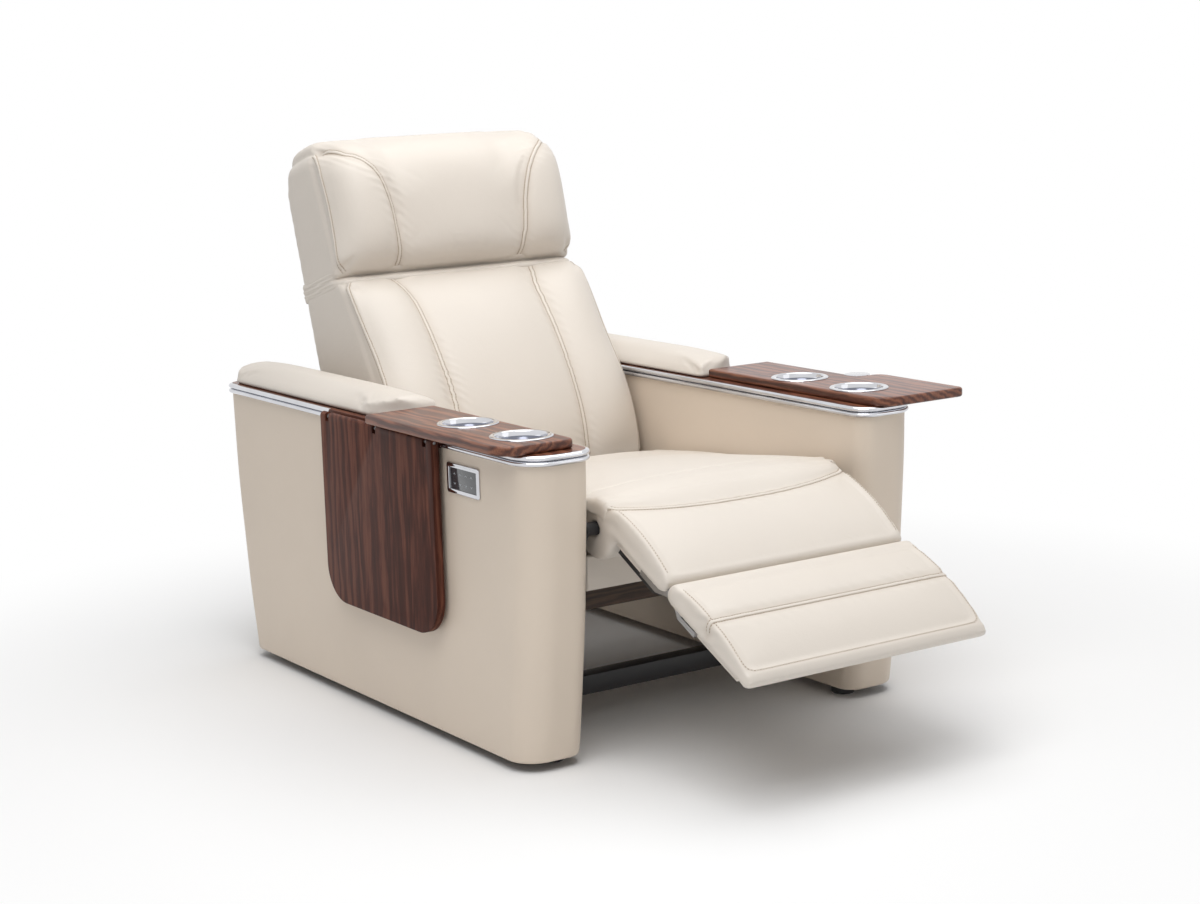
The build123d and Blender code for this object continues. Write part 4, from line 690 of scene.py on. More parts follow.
for side_name, side in (("left", 1), ("right", -1)):
    cups = [turned(f"cup_{side_name}_{place}", cup_profile, side * CUP_X, y) for place, y in CUP_YS.items()]
    both_cups = bmesh.new()
    for cup in cups:
        both_cups.from_mesh(cup.data)
    both_cups.to_mesh(cups[0].data)
    both_cups.free()
    bpy.data.objects.remove(cups[1])
    cups[0].name = f"cup_holder_pair_{side_name}"
    finish_piece(cups[0], chrome, "polished_chrome", "base", f"cup_holders_{side_name}", sharp=40)
    # Faces below the lip get the darker steel, painted shade in the cup's hollow.
    cups[0].data.materials.append(cup_steel_painted_shade)
    for face in cups[0].data.polygons:
        face.material_index = 1 if face.center.z < CUP_LIP * MM else 0

refined("post_with_cap", "tray_post", chrome, "base", bevel=0.0012, sharp=32)

# Drop leaf: a walnut-faced board with two round corners that hangs by a pin in three steel lugs.
# The lugs stand out from a walnut rail that takes the place of the band beside it.
walnut_leaf = wood_material("lacquered_walnut_leaf", LEAF_DARK, LEAF_MID, LEAF_LIGHT, ALONG_Z,
                            ring_size=24.0, pores=0.07, gloss=0.45, Coat_Weight=0.03, Coat_Roughness=0.2,
                            Specular_IOR_Level=0.12)
walnut_rail = wood_material("lacquered_walnut_rail", LEAF_DARK, LEAF_MID, LEAF_LIGHT, ALONG_Y,
                            ring_size=24.0, pores=0.07, gloss=0.45, Coat_Weight=0.03, Coat_Roughness=0.2,
                            Specular_IOR_Level=0.12)
bright_steel = speckled_material("zinc_plated_steel", (0.34, 0.34, 0.345), scale=500.0, depth=0.05,
                                 roughness=0.24, variation=0.2, Metallic=1.0)
refined("drop_leaf", "side_leaf", walnut_leaf, "side_leaf", bevel=0.0025, sharp=35)
refined("leaf_rail_walnut", "leaf_rail", walnut_rail, "base", bevel=0.0008, sharp=35)
refined("leaf_hinge_steel", "leaf_hinge", bright_steel, "base", bevel=0.0004, sharp=35)

# Control panel: a chrome frame pressed into the right arm round a dark touch glass with faint
# plain signs, two pairs of arrows and a ring, and a black box of electronics behind it.
dark_glass, glass_shader = new_material("dark_touch_glass", Base_Color=(0.055, 0.06, 0.068, 1),
                                        Roughness=0.08, Coat_Weight=0.8, Coat_Roughness=0.03,
                                        Specular_IOR_Level=0.6)
glass_tree = dark_glass.node_tree
glass_place = add_node(glass_tree, "ShaderNodeTexCoord")
smear = add_node(glass_tree, "ShaderNodeTexNoise", Scale=60.0, Detail=4.0)
smear_range = add_node(glass_tree, "ShaderNodeMapRange", To_Min=0.04, To_Max=0.16)
glass_tree.links.new(glass_place.outputs["Object"], smear.inputs["Vector"])
glass_tree.links.new(smear.outputs[0], smear_range.inputs["Value"])
glass_tree.links.new(smear_range.outputs[0], glass_shader.inputs["Roughness"])
sign_ink = speckled_material("pale_sign_ink", (0.42, 0.45, 0.48), scale=300.0, depth=0.02, roughness=0.4,
                             variation=0.1)
refined("panel_frame", "control_bezel", chrome, "base", bevel=0.0008, sharp=35)
refined("panel_glass", "control_glass", dark_glass, "base", bevel=0.0005, sharp=35)
dress("control_box", black_plastic)
PANEL_Y, PANEL_Z = 216.5, 502.5
PANEL_X = -432.62
SIGN_PITCH_Y, SIGN_RISE, SIGN_SIZE = 19.0, 9.0, 4.2
sign_points, sign_faces = [], []


def add_sign(corners):
    """A flat sign on the glass from (along, up) points."""
    first = len(sign_points)
    sign_points.extend(spot(PANEL_X, PANEL_Y + a, PANEL_Z + b) for a, b in corners)
    sign_faces.append(tuple(range(first, len(sign_points))))


for column in (-1.5, -0.5, 0.5, 1.5):
    for up in (-1, 1):
        middle_z = up * SIGN_RISE
        centre_y = column * SIGN_PITCH_Y
        add_sign([(centre_y - SIGN_SIZE, middle_z - up * SIGN_SIZE / 2),
                  (centre_y, middle_z + up * SIGN_SIZE / 2),
                  (centre_y + SIGN_SIZE, middle_z - up * SIGN_SIZE / 2),
                  (centre_y, middle_z - up * SIGN_SIZE / 6)])
signs = mesh_object("panel_signs", sign_points, sign_faces)
finish_piece(signs, sign_ink, "dark_glass", "base")

# Steelwork: two side plates between the arms carry every pivot, and two square tubes tie the arms
# together. All of it is cut or drawn steel, powder coated black, with bright turned pins.
black_coat = speckled_material("black_powder_coat", (0.022, 0.022, 0.024), scale=1100.0, depth=0.3,
                               roughness=0.36, variation=0.16)
for plain_node in ("side_plates", "base_tube_front", "base_tube_rear"):
    refined(f"{plain_node}_painted", plain_node, black_coat, "base", bevel=0.0006)
dress("pivot_pins", bright_steel)

# Drives: a plywood board across the tubes carries two motor drives in black plastic housings. Their
# bright rods slide in and out behind slotted forks that push the levers of the footrest and the back.
plywood = wood_material("raw_plywood", (0.40, 0.27, 0.15), (0.58, 0.42, 0.26), (0.70, 0.55, 0.38), ALONG_Y,
                        ring_size=22.0, pores=0.2, gloss=0.6)
dress("actuator_board", plywood)
dress("leg_actuator", black_plastic)
dress("back_actuator", black_plastic)
dress("leg_rod", bright_steel)
dress("back_rod", bright_steel)

# Seat base: a box of planed hardwood rails with sinuous springs let into its top, and a near-black
# cross rail under its front that the apron is stapled to; its dark wood is painted shade under the seat.
dress("seat_frame", hardwood)
dress("seat_springs", bright_steel)
# Near-black wood tones: painted shade under the seat's front.
cross_rail_shade_wood = wood_material("cross_rail_painted_shade", (0.020, 0.011, 0.007), (0.045, 0.025, 0.015),
                             (0.07, 0.04, 0.024), (0, 0, 0), ring_size=40.0, pores=0.15, gloss=0.6)
dress("cross_rail", cross_rail_shade_wood)

# Apron: two shallow pads of soft leather over a thin board, stapled to the cross rail under the
# seat's front. The cushions have the same hide, thinner and looser than that of the arms.
# The cushions' copy of the cream is paler and cooler than the arms': painted highlight of the lit cushion
# tops.
CREAM = (0.700, 0.640, 0.572)
soft_leather = leather_material("cream_leather_soft", CREAM, CREAM_PAINTED_SHADE, grain_depth=0.30,
                                wrinkle_depth=0.13, roughness=0.38)
refined("apron_pads", "apron", soft_leather, "base", bevel=0.0015, sharp=50)

# Seat cushion: one thick block of foam in a leather cover, crowned and soft at its edges.
# It is filled by pressure, held at its underside and where the footrest's roll turns in its front.
SLIM = 0.004
FILL_STEPS = 17
PIVOT_Y, PIVOT_Z = 60.0, 418.0


def points_of(piece):
    """The piece's points as an array."""
    flat = np.empty(len(piece.data.vertices) * 3)
    piece.data.vertices.foreach_get("co", flat)
    return flat.reshape(-1, 3)


def normals_of(piece):
    """The outward directions at the piece's points."""
    flat = np.empty(len(piece.data.vertices) * 3)
    piece.data.vertex_normals.foreach_get("vector", flat)
    return flat.reshape(-1, 3)


def set_points(piece, points):
    """Moves the piece's points."""
    piece.data.vertices.foreach_set("co", points.ravel())
    piece.data.update()


def chair_points(piece):
    """The piece's points in chair millimetres."""
    return (points_of(piece) - np.array(spot(0, 0, 0))) / MM


def soft_form(name, *nodes, voxel, calm):
    """One closed form with an even mesh and eased edges from the solids of a cushion."""
    piece = copied(name, *nodes)
    even = piece.modifiers.new("even_mesh", "REMESH")
    even.mode = "VOXEL"
    even.voxel_size = voxel
    ease = piece.modifiers.new("eased_edges", "SMOOTH")
    ease.factor = 0.5
    ease.iterations = calm
    return settle(piece)


def weigh(piece, name, weights):
    """A vertex group that holds the points' weights in tenths."""
    group = piece.vertex_groups.new(name=name)
    for tenth in range(1, 11):
        chosen = np.nonzero(np.rint(weights * 10) == tenth)[0]
        group.add([int(i) for i in chosen], tenth / 10, "REPLACE")


def filled(piece, held, cap, pressure):
    """Swells a cover under pressure, held by weights, with every point's way capped."""
    slim = points_of(piece) - normals_of(piece) * (SLIM * (1 - held))[:, None]
    set_points(piece, slim)
    weigh(piece, "held", held)
    fill = piece.modifiers.new("fill", "CLOTH")
    fill.settings.use_pressure = True
    fill.settings.uniform_pressure_force = pressure
    fill.settings.effector_weights.gravity = 0
    fill.settings.vertex_group_mass = "held"
    fill.settings.quality = 3
    fill.point_cache.frame_start = 1
    fill.point_cache.frame_end = FILL_STEPS + 5
    for step in range(1, FILL_STEPS + 1):
        scene.frame_set(step)
    graph = bpy.context.evaluated_depsgraph_get()
    swollen = piece.evaluated_get(graph).to_mesh()
    flat = np.empty(len(swollen.vertices) * 3)
    swollen.vertices.foreach_get("co", flat)
    piece.evaluated_get(graph).to_mesh_clear()
    move = flat.reshape(-1, 3) - slim
    way = np.linalg.norm(move, axis=1)
    move *= np.minimum(1, cap / np.maximum(way, 1e-9))[:, None]
    piece.modifiers.clear()
    piece.vertex_groups.clear()
    scene.frame_set(1)
    set_points(piece, slim + move)
    finer = piece.modifiers.new("finer", "SUBSURF")
    finer.levels = finer.render_levels = 1
    settle(piece)


def smooth_step(value, low, high):
    """0 below low, 1 above high, smooth between."""
    share = np.clip((value - low) / (high - low), 0, 1)
    return share * share * (3 - 2 * share)


seat_cover = soft_form("seat_cover", "seat_cushion", voxel=0.006, calm=5)
p = chair_points(seat_cover)
roll_distance = np.hypot(p[:, 1] - PIVOT_Y, p[:, 2] - PIVOT_Z)
SEAT_HELD, ROLL_HELD = (425, 448), (60, 74)
seat_held = np.maximum.reduce([1 - smooth_step(p[:, 2], *SEAT_HELD),
                               1 - smooth_step(roll_distance, *ROLL_HELD)])
filled(seat_cover, seat_held, cap=0.014, pressure=3.0)
finish_piece(seat_cover, soft_leather, "leather_cream", "base", "seat_cushion")

# Arm pads: foam under leather, crowned and rolled down at the ends, glued on the arm boards.
# The right and left pads are mirror images, with the outer front corner cut back beside the leaf.
PAD_HELD = (574, 588)


def pad_over(name, node):
    """One arm pad, filled lightly and held along its foot."""
    pad = soft_form(name, node, voxel=0.006, calm=4)
    heights = chair_points(pad)[:, 2]
    filled(pad, 1 - smooth_step(heights, *PAD_HELD), cap=0.006, pressure=3.0)
    finish_piece(pad, soft_leather, "leather_cream", "base", node)


pad_over("pad_cover_left", "arm_pad_left")
pad_over("pad_cover_right", "arm_pad_right")

# Legrest: a foam pad on plywood whose roll turns about the pivot, in one leather cover with a
# double-sewn seam that dips forward across it and a sewn edge down each side.
LEG_SLOPE = math.radians(28.0)
LEG_LENGTH, LEG_CROWN = 199.0, 14.0
LEG_HALF = 265.0
ROLL = 57.0


def tree_of(piece):
    """A search tree of the piece's faces."""
    shape = bmesh.new()
    shape.from_mesh(piece.data)
    tree = BVHTree.FromBMesh(shape)
    shape.free()
    return tree


def line_distance(points, lines):
    """Each point's distance from the nearest of the lines."""
    spots = [p for line in lines for p in line]
    finder = KDTree(len(spots))
    for index, p in enumerate(spots):
        finder.insert(p, index)
    finder.balance()
    return np.array([finder.find(p)[2] for p in points])


def nearness(piece, lines, reach):
    """How near each of the piece's points is to the lines: 1 on a line, falling to 0 at the reach."""
    return np.clip(1 - line_distance(points_of(piece), lines) / reach, 0, 1)


def smooth_line(points, step=0.003):
    """Evenly spaced points on a smooth line through the given ones."""
    ends = [points[0] * 2 - points[1]] + list(points) + [points[-1] * 2 - points[-2]]
    line = []
    for a, b, c, d in zip(ends, ends[1:], ends[2:], ends[3:]):
        count = max(2, round((c - b).length / step))
        for index in range(count):
            t = index / count
            line.append(0.5 * (2 * b + (c - a) * t + (2 * a - 5 * b + 4 * c - d) * t * t
                               + (3 * b - 3 * c + d - a) * t * t * t))
    return line + [points[-1]]


PUCKER_HEIGHT, PUCKER_PITCH, PUCKER_REACH = 0.0006, 0.018, 0.016
SEAM_SHADE_MARK = 0.22


def drawn_in(piece, lines, depth, spread):
    """Pulls the cover in along its seams, with small puckers beside them, and paints shade on the pulled-in
    folds.
    """
    points = points_of(piece)
    distance = line_distance(points, lines)
    pull = depth * np.exp(-(distance / spread) ** 2)
    run = points[:, 2] + 0.6 * points[:, 0]
    beside = np.exp(-((distance - PUCKER_REACH) / PUCKER_REACH) ** 2)
    stray = 2.2 * np.sin(points[:, 2] * 31.0) + 1.7 * np.sin(points[:, 0] * 43.0)
    wave = np.sin(2 * math.pi * run / PUCKER_PITCH + stray)
    pull -= PUCKER_HEIGHT * beside * wave * (0.6 + 0.4 * np.sin(points[:, 2] * 17.0 + points[:, 0] * 11.0))
    set_points(piece, points - normals_of(piece) * pull[:, None])
    # Painted shade: the seam attribute darkens the cover where the seams draw it in.
    fold = piece.data.attributes.new("seam", "FLOAT", "POINT")
    fold.data.foreach_set("value", SEAM_SHADE_MARK * np.exp(-(distance / (0.8 * spread)) ** 2))


# The third number of each section point is a mark for the seam attribute: painted shade in the grooves,
# together with the brown of the stitch rows that run in them.
SEAM_HALF = 0.0060
SEAM_SECTION = ((-1.0, -0.0008, 0.0), (-0.92, 0.0001, 0.15), (-0.82, 0.0002, 0.6), (-0.70, -0.0006, 1.0),
                (-0.58, 0.0003, 0.6), (-0.42, 0.0012, 0.0), (-0.18, 0.0017, 0.0), (0.18, 0.0017, 0.0),
                (0.42, 0.0012, 0.0), (0.58, 0.0003, 0.6), (0.70, -0.0006, 1.0), (0.82, 0.0002, 0.6),
                (0.92, 0.0001, 0.15), (1.0, -0.0008, 0.0))
EDGE_SECTION = ((-0.5, -0.0006, 0.0), (-0.32, 0.0001, 0.1), (-0.16, 0.0001, 0.5), (0.0, -0.0007, 1.0),
                (0.16, 0.0001, 0.5), (0.32, 0.0001, 0.1), (0.5, -0.0006, 0.0))
SEAM_ROWS = (-0.7, 0.7)
EDGE_ROWS = (0.0,)

thread = speckled_material("waxed_thread", (0.27, 0.175, 0.10), scale=2600.0, depth=0.5, roughness=0.5,
                           variation=0.1)
stitching = bpy.data.node_groups.new("thread_stitches", "GeometryNodeTree")
stitch_sockets = {}
STITCH_SIZES = (("Geometry", "NodeSocketGeometry", None), ("Pitch", "NodeSocketFloat", 0.0058),
                ("Stitch Length", "NodeSocketFloat", 0.0042), ("Thread Radius", "NodeSocketFloat", 0.00056))
for socket, kind, value in STITCH_SIZES:
    made = stitching.interface.new_socket(socket, in_out="INPUT", socket_type=kind)
    stitch_sockets[socket] = (made.identifier, value)
    if value:
        made.default_value = value
stitching.interface.new_socket("Geometry", in_out="OUTPUT", socket_type="NodeSocketGeometry")
stitch_in = add_node(stitching, "NodeGroupInput")
stitch_out = add_node(stitching, "NodeGroupOutput")
to_curve = add_node(stitching, "GeometryNodeMeshToCurve")
spaced = add_node(stitching, "GeometryNodeResampleCurve", mode="LENGTH")
bead = add_node(stitching, "GeometryNodeMeshUVSphere", Segments=6, Rings=4, Radius=1.0)
half_length = add_node(stitching, "ShaderNodeMath", operation="MULTIPLY")
half_length.inputs[1].default_value = 0.5
bead_size = add_node(stitching, "ShaderNodeCombineXYZ")
shaped = add_node(stitching, "GeometryNodeTransform")
along_row = add_node(stitching, "GeometryNodeInputTangent")
turn = add_node(stitching, "FunctionNodeAlignRotationToVector", axis="Z")
slight = add_node(stitching, "FunctionNodeRandomValue")
slight.inputs[2].default_value = 0.88
slight.inputs[3].default_value = 1.08
slight.inputs["Seed"].default_value = 7
sewn_on = add_node(stitching, "GeometryNodeInstanceOnPoints")
real = add_node(stitching, "GeometryNodeRealizeInstances")
threaded = add_node(stitching, "GeometryNodeSetMaterial", Material=thread)
for a, b in ((stitch_in.outputs["Geometry"], to_curve.inputs[0]),
             (to_curve.outputs[0], spaced.inputs["Curve"]),
             (stitch_in.outputs["Pitch"], spaced.inputs["Length"]),
             (spaced.outputs[0], sewn_on.inputs["Points"]),
             (stitch_in.outputs["Stitch Length"], half_length.inputs[0]),
             (half_length.outputs[0], bead_size.inputs["Z"]),
             (stitch_in.outputs["Thread Radius"], bead_size.inputs["X"]),
             (stitch_in.outputs["Thread Radius"], bead_size.inputs["Y"]),
             (bead.outputs["Mesh"], shaped.inputs["Geometry"]),
             (bead_size.outputs[0], shaped.inputs["Scale"]),
             (shaped.outputs[0], sewn_on.inputs["Instance"]),
             (along_row.outputs[0], turn.inputs["Vector"]), (turn.outputs[0], sewn_on.inputs["Rotation"]),
             (slight.outputs[1], sewn_on.inputs["Scale"]), (sewn_on.outputs[0], real.inputs[0]),
             (real.outputs[0], threaded.inputs["Geometry"]), (threaded.outputs[0], stitch_out.inputs[0])):
    stitching.links.new(a, b)


def stitched(name, rows, body):
    """Rows of stitches along lines, as one piece on that body."""
    points, edges = [], []
    for row in rows:
        first = len(points)
        points += [tuple(p) for p in row]
        edges += [(first + i, first + i + 1) for i in range(len(row) - 1)]
    data = bpy.data.meshes.new(name)
    data.from_pydata(points, edges, [])
    piece = bpy.data.objects.new(name, data)
    scene.collection.objects.link(piece)
    sew = piece.modifiers.new("stitches", "NODES")
    sew.node_group = stitching
    for identifier, value in stitch_sockets.values():
        if value:
            sew[identifier] = value
    settle(piece)
    piece.data.shade_smooth()
    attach(piece, body)


def sewn_seams(name, cover, kinds, body):
    """Seams laid on a cover: for each kind its lines, the strip's section and its rows of stitches."""
    tree = tree_of(cover)
    points, faces, groove_shade_marks, rows = [], [], [], []
    for lines, section, row_shares in kinds:
        width = len(section)
        for line in lines:
            laid = [tree.find_nearest(p)[:2] for p in line]
            count = len(laid)
            sides = {share: [] for share in row_shares}
            first = len(points)
            for index in range(count):
                place = laid[index][0]
                near = laid[max(index - 2, 0):index + 3]
                out = sum((pair[1] for pair in near), Vector()).normalized()
                along = (near[-1][0] - near[0][0]).normalized()
                side = out.cross(along).normalized()
                fade = min(1.0, index / 3, (count - 1 - index) / 3)
                for share, height, mark in section:
                    at, up = tree.find_nearest(place + side * share * SEAM_HALF)[:2]
                    up = (up + out).normalized()
                    points.append(at + up * (height * fade - 0.0006 * (1 - fade)))
                    groove_shade_marks.append(mark * fade)
                for share in row_shares:
                    at = tree.find_nearest(place + side * share * SEAM_HALF)[0]
                    sides[share].append(at + out * 0.0001)
            for row in range(count - 1):
                for step in range(width - 1):
                    a = first + row * width + step
                    faces.append((a, a + 1, a + width + 1, a + width))
            rows += [side_row[2:-2] for side_row in sides.values()]
    seam = mesh_object(name, points, faces)
    if sum((f.normal.dot(tree.find_nearest(f.center)[1]) for f in seam.data.polygons)) < 0:
        seam.data.flip_normals()
    # The marks paint shade into the seam strip's grooves.
    fold = seam.data.attributes.new("seam", "FLOAT", "POINT")
    fold.data.foreach_set("value", groove_shade_marks)
    seam.data.shade_smooth()
    seam.data.materials.append(soft_leather)
    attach(seam, body)
    stitched(name + "_stitches", rows, body)


def leg_spot(x, u, n):
    """Row frame point from the legrest's own run u and height n."""
    return spot(x, PIVOT_Y - u * math.cos(LEG_SLOPE) - n * math.sin(LEG_SLOPE),
                PIVOT_Z - u * math.sin(LEG_SLOPE) + n * math.cos(LEG_SLOPE))


def leg_height(u):
    """Height of the crowned pad over the legrest's pivot plane."""
    share = min(max(u / LEG_LENGTH, 0.0), 1.0)
    return ROLL + LEG_CROWN * 4 * share * (1 - share)


dress("leg_arms", black_coat)
dress("leg_board", soft_leather)
dress("leg_lugs", bright_steel)
leg_cover = soft_form("leg_cover", "leg_pad", voxel=0.007, calm=4)
p = chair_points(leg_cover)
along_leg = -(p[:, 1] - PIVOT_Y) * math.cos(LEG_SLOPE) - (p[:, 2] - PIVOT_Z) * math.sin(LEG_SLOPE)
over_leg = -(p[:, 1] - PIVOT_Y) * math.sin(LEG_SLOPE) + (p[:, 2] - PIVOT_Z) * math.cos(LEG_SLOPE)
SMILE_DIP, SMILE_RISE = 56.0, 36.0


def smile_run(x):
    """How far out along the legrest the seam that ends the seat lies at x."""
    return SMILE_DIP - SMILE_RISE * min(1.0, abs(x) / LEG_HALF) ** 2.6


smile_places = [(x, smile_run(x), leg_height(smile_run(x)) - (1.0 if abs(x) > 245 else 0.0))
                for x in range(-250, 251, 25)]
smile_end = [(265.0, -14.0, 26.0), (263.0, 8.0, 50.0)]
smile_places = [(-x, u, n) for x, u, n in smile_end] + smile_places + smile_end[::-1]
leg_smile = smooth_line([leg_spot(*place) for place in smile_places])
EDGE_INSET = 12.0
LEG_ROW_RUNS = (32, 60, 90, 140, 180, 205)
leg_sides = [smooth_line([leg_spot(side * (LEG_HALF - EDGE_INSET), u, leg_height(u)) for u in LEG_ROW_RUNS])
             for side in (-1, 1)]
leg_near = nearness(leg_cover, [leg_smile] + leg_sides, reach=0.014)
LEG_FOOT, LEG_START, LEG_END = (22, 44), (10, 50), (196, 212)
leg_held = np.maximum.reduce([1 - smooth_step(over_leg, *LEG_FOOT), 1 - smooth_step(along_leg, *LEG_START),
                              smooth_step(along_leg, *LEG_END), leg_near])
filled(leg_cover, leg_held, cap=0.012, pressure=4.0)
drawn_in(leg_cover, [leg_smile], depth=0.0035, spread=0.011)
finish_piece(leg_cover, soft_leather, "leather_cream", "legrest", "leg_pad")
sewn_seams("leg_seams", leg_cover, [([leg_smile], SEAM_SECTION, SEAM_ROWS),
                                    (leg_sides, EDGE_SECTION, EDGE_ROWS)], "legrest")

# Footrest panel: a thinner pad with a rounded tip on its own board, hinged under the legrest.
# A double seam crosses it a third of the way out and another runs down each side.
FOOT_SLOPE = math.radians(30.5)
FOOT_Y, FOOT_Z = -169.3, 338.0


def foot_spot(x, s, m):
    """Row frame point from the foot panel's own run s and height m."""
    return spot(x, FOOT_Y - s * math.cos(FOOT_SLOPE) - m * math.sin(FOOT_SLOPE),
                FOOT_Z - s * math.sin(FOOT_SLOPE) + m * math.cos(FOOT_SLOPE))


dress("foot_board", soft_leather)
dress("foot_lugs", bright_steel)
dress("foot_bumpers", black_plastic)
foot_cover = soft_form("foot_cover", "foot_pad", voxel=0.007, calm=4)
p = chair_points(foot_cover)
along_foot = -(p[:, 1] - FOOT_Y) * math.cos(FOOT_SLOPE) - (p[:, 2] - FOOT_Z) * math.sin(FOOT_SLOPE)
over_foot = -(p[:, 1] - FOOT_Y) * math.sin(FOOT_SLOPE) + (p[:, 2] - FOOT_Z) * math.cos(FOOT_SLOPE)
FOOT_SEAM = 97.0
foot_cross = smooth_line([foot_spot(x, FOOT_SEAM + dip, 31.0 - drop) for x, dip, drop in (
    (-265, 8, 24), (-262, 2, 6), (-235, 0, 0), (-110, 0, 0), (0, 0, 0), (110, 0, 0), (235, 0, 0), (262, 2, 6),
    (265, 8, 24))])
EDGE_RUN = ((4, 21), (50, 28), (100, 31), (150, 29), (195, 22))
foot_rim = [foot_spot(-(LEG_HALF - EDGE_INSET), s, m) for s, m in EDGE_RUN]
TIP_RUN = ((-244, 209), (-225, 212), (-150, 212), (-75, 212), (0, 212), (75, 212), (150, 212), (225, 212),
           (244, 209))
foot_rim += [foot_spot(x, s, 18.0) for x, s in TIP_RUN]
foot_rim += [foot_spot(LEG_HALF - EDGE_INSET, s, m) for s, m in reversed(EDGE_RUN)]
foot_sides = [smooth_line(foot_rim)]
foot_near = nearness(foot_cover, [foot_cross] + foot_sides, reach=0.014)
FOOT_UNDER, FOOT_START = (-4, 14), (4, 22)
foot_held = np.maximum.reduce([1 - smooth_step(over_foot, *FOOT_UNDER),
                               1 - smooth_step(along_foot, *FOOT_START), foot_near])
filled(foot_cover, foot_held, cap=0.010, pressure=4.0)
drawn_in(foot_cover, [foot_cross], depth=0.0035, spread=0.011)
finish_piece(foot_cover, soft_leather, "leather_cream", "footrest", "foot_pad")
sewn_seams("foot_seams", foot_cover, [([foot_cross], SEAM_SECTION, SEAM_ROWS),
                                      (foot_sides, EDGE_SECTION, EDGE_ROWS)], "footrest")

# Seat front: the leather of the seat runs on over the roll to the legrest's first seam.
# It is one thin skin that starts under the seat's crown.
WRAP_ROUND = 15.0
WRAP_STEPS = 72
WRAP_SKIN = 0.002
NUDGE = 0.013
WRAP_SHORT = 6.0
WRAP_SINK = 6.0
WRAP_FLAT = 250.0
WRAP_TURNS = 8
WRAP_LIFT, WRAP_TUCK = 3.0, 1.2
DOWN = Vector((0, 0, -1))
WRAP_STARTS = ((126.0, 9.0), (116.0, 5.0), (106.0, 1.6), (98.0, 0.0), (90.0, -0.5), (83.0, -0.8))
seat_tree = tree_of(seat_cover)
leg_tree = tree_of(leg_cover)
p = chair_points(seat_cover)
sink = WRAP_SINK * (1 - smooth_step(p[:, 1], 82, 112)) * smooth_step(p[:, 2], 452, 468)
set_points(seat_cover, points_of(seat_cover) - np.outer(sink * MM, (0, 0, 1)))


def seat_height(x, y):
    """Height of the finished seat at a plan place."""
    place = spot(x + NUDGE, y + NUDGE, 600.0)
    hit = seat_tree.ray_cast(place, DOWN)[0] or seat_tree.find_nearest(spot(x, y, 482.0))[0]
    return hit.z / MM


def leg_surface(x, u):
    """Height over the pivot plane of the finished legrest cover at x and u."""
    way = (leg_spot(0, 0, -1.0) - leg_spot(0, 0, 0)).normalized()
    hit, out, index, distance = leg_tree.ray_cast(leg_spot(x + NUDGE, u + NUDGE, 120.0), way)
    return 120.0 - distance / MM if hit else leg_height(u)


wrap_rows = []
for step in range(WRAP_STEPS + 1):
    across_share = 2 * step / WRAP_STEPS - 1
    x_flat = across_share * WRAP_FLAT
    profile = []
    corner = 3.0 * smooth_step(abs(x_flat), 200.0, WRAP_FLAT)
    for y, sink in WRAP_STARTS:
        sink += corner if y > 110.0 else 0.0
        profile.append((y, seat_height(x_flat, y) - sink, 0.0, 1.0))
    lip = min(seat_height(x_flat, 84.0), seat_height(x_flat, 92.0)) + 0.6 - PIVOT_Z
    end_run = smile_run(x_flat) - WRAP_SHORT
    for turn_step in range(1, WRAP_TURNS + 1):
        turned_share = (turn_step - 1) / (WRAP_TURNS - 1)
        angle = LEG_SLOPE * turned_share - math.radians(6.0) * (1 - turned_share)
        share = turn_step / WRAP_TURNS * 0.55
        reach = lip + (ROLL + WRAP_LIFT - lip) * smooth_step(share, 0.0, 1.0)
        profile.append((PIVOT_Y - reach * math.sin(angle), PIVOT_Z + reach * math.cos(angle),
                        -math.sin(angle), math.cos(angle)))
    last_rise = math.hypot(profile[-1][0] - PIVOT_Y, profile[-1][1] - PIVOT_Z) - ROLL
    for run_step in range(1, WRAP_TURNS + 1):
        share = run_step / WRAP_TURNS
        u = end_run * share
        height = leg_surface(x_flat, u) + last_rise * (1 - share) ** 1.5
        height += WRAP_LIFT * (1 - share) - WRAP_TUCK * share ** 4
        profile.append((PIVOT_Y - u * math.cos(LEG_SLOPE) - height * math.sin(LEG_SLOPE),
                        PIVOT_Z - u * math.sin(LEG_SLOPE) + height * math.cos(LEG_SLOPE),
                        -math.sin(LEG_SLOPE), math.cos(LEG_SLOPE)))
    wrap_rows.append((x_flat, profile))
row_length = len(wrap_rows[0][1])
columns = [[(x_flat, y, z) for y, z, ny, nz in profile] for x_flat, profile in wrap_rows]
SIDE_OUT = (4.0, 8.0, 11.0, 13.0, 14.5, 15.0)
for side, (x_flat, profile) in ((-1, wrap_rows[0]), (1, wrap_rows[-1])):
    extra = []
    for out in SIDE_OUT:
        round_off = WRAP_ROUND * (1 - math.sqrt(max(0.0, 1 - (out / SIDE_OUT[-1]) ** 2)))
        column = []
        for y, z, ny, nz in profile:
            at = x_flat + side * out * (1 + 1.2 * smooth_step(y, 50.0, 110.0))
            if y > 80.0:
                column.append((at, y, min(z, seat_height(at, y) - (5.5 if y > 102 else 0.5))))
            else:
                column.append((at, y - ny * round_off, z - nz * round_off))
        extra.append(column)
    extra.append([(x, y - 0.2 * (y - PIVOT_Y), z - 22.0) for x, y, z in extra[-1]])
    columns = (list(reversed(extra)) + columns) if side < 0 else (columns + extra)
wrap_points = [spot(*place) for column in columns for place in column]
wrap_faces = []
for c in range(len(columns) - 1):
    for r in range(row_length - 1):
        a = c * row_length + r
        wrap_faces.append((a, a + 1, a + row_length + 1, a + row_length))
seat_wrap = mesh_object("seat_front_wrap", wrap_points, wrap_faces)
if seat_wrap.data.polygons[len(wrap_faces) // 2].normal.z < 0:
    seat_wrap.data.flip_normals()
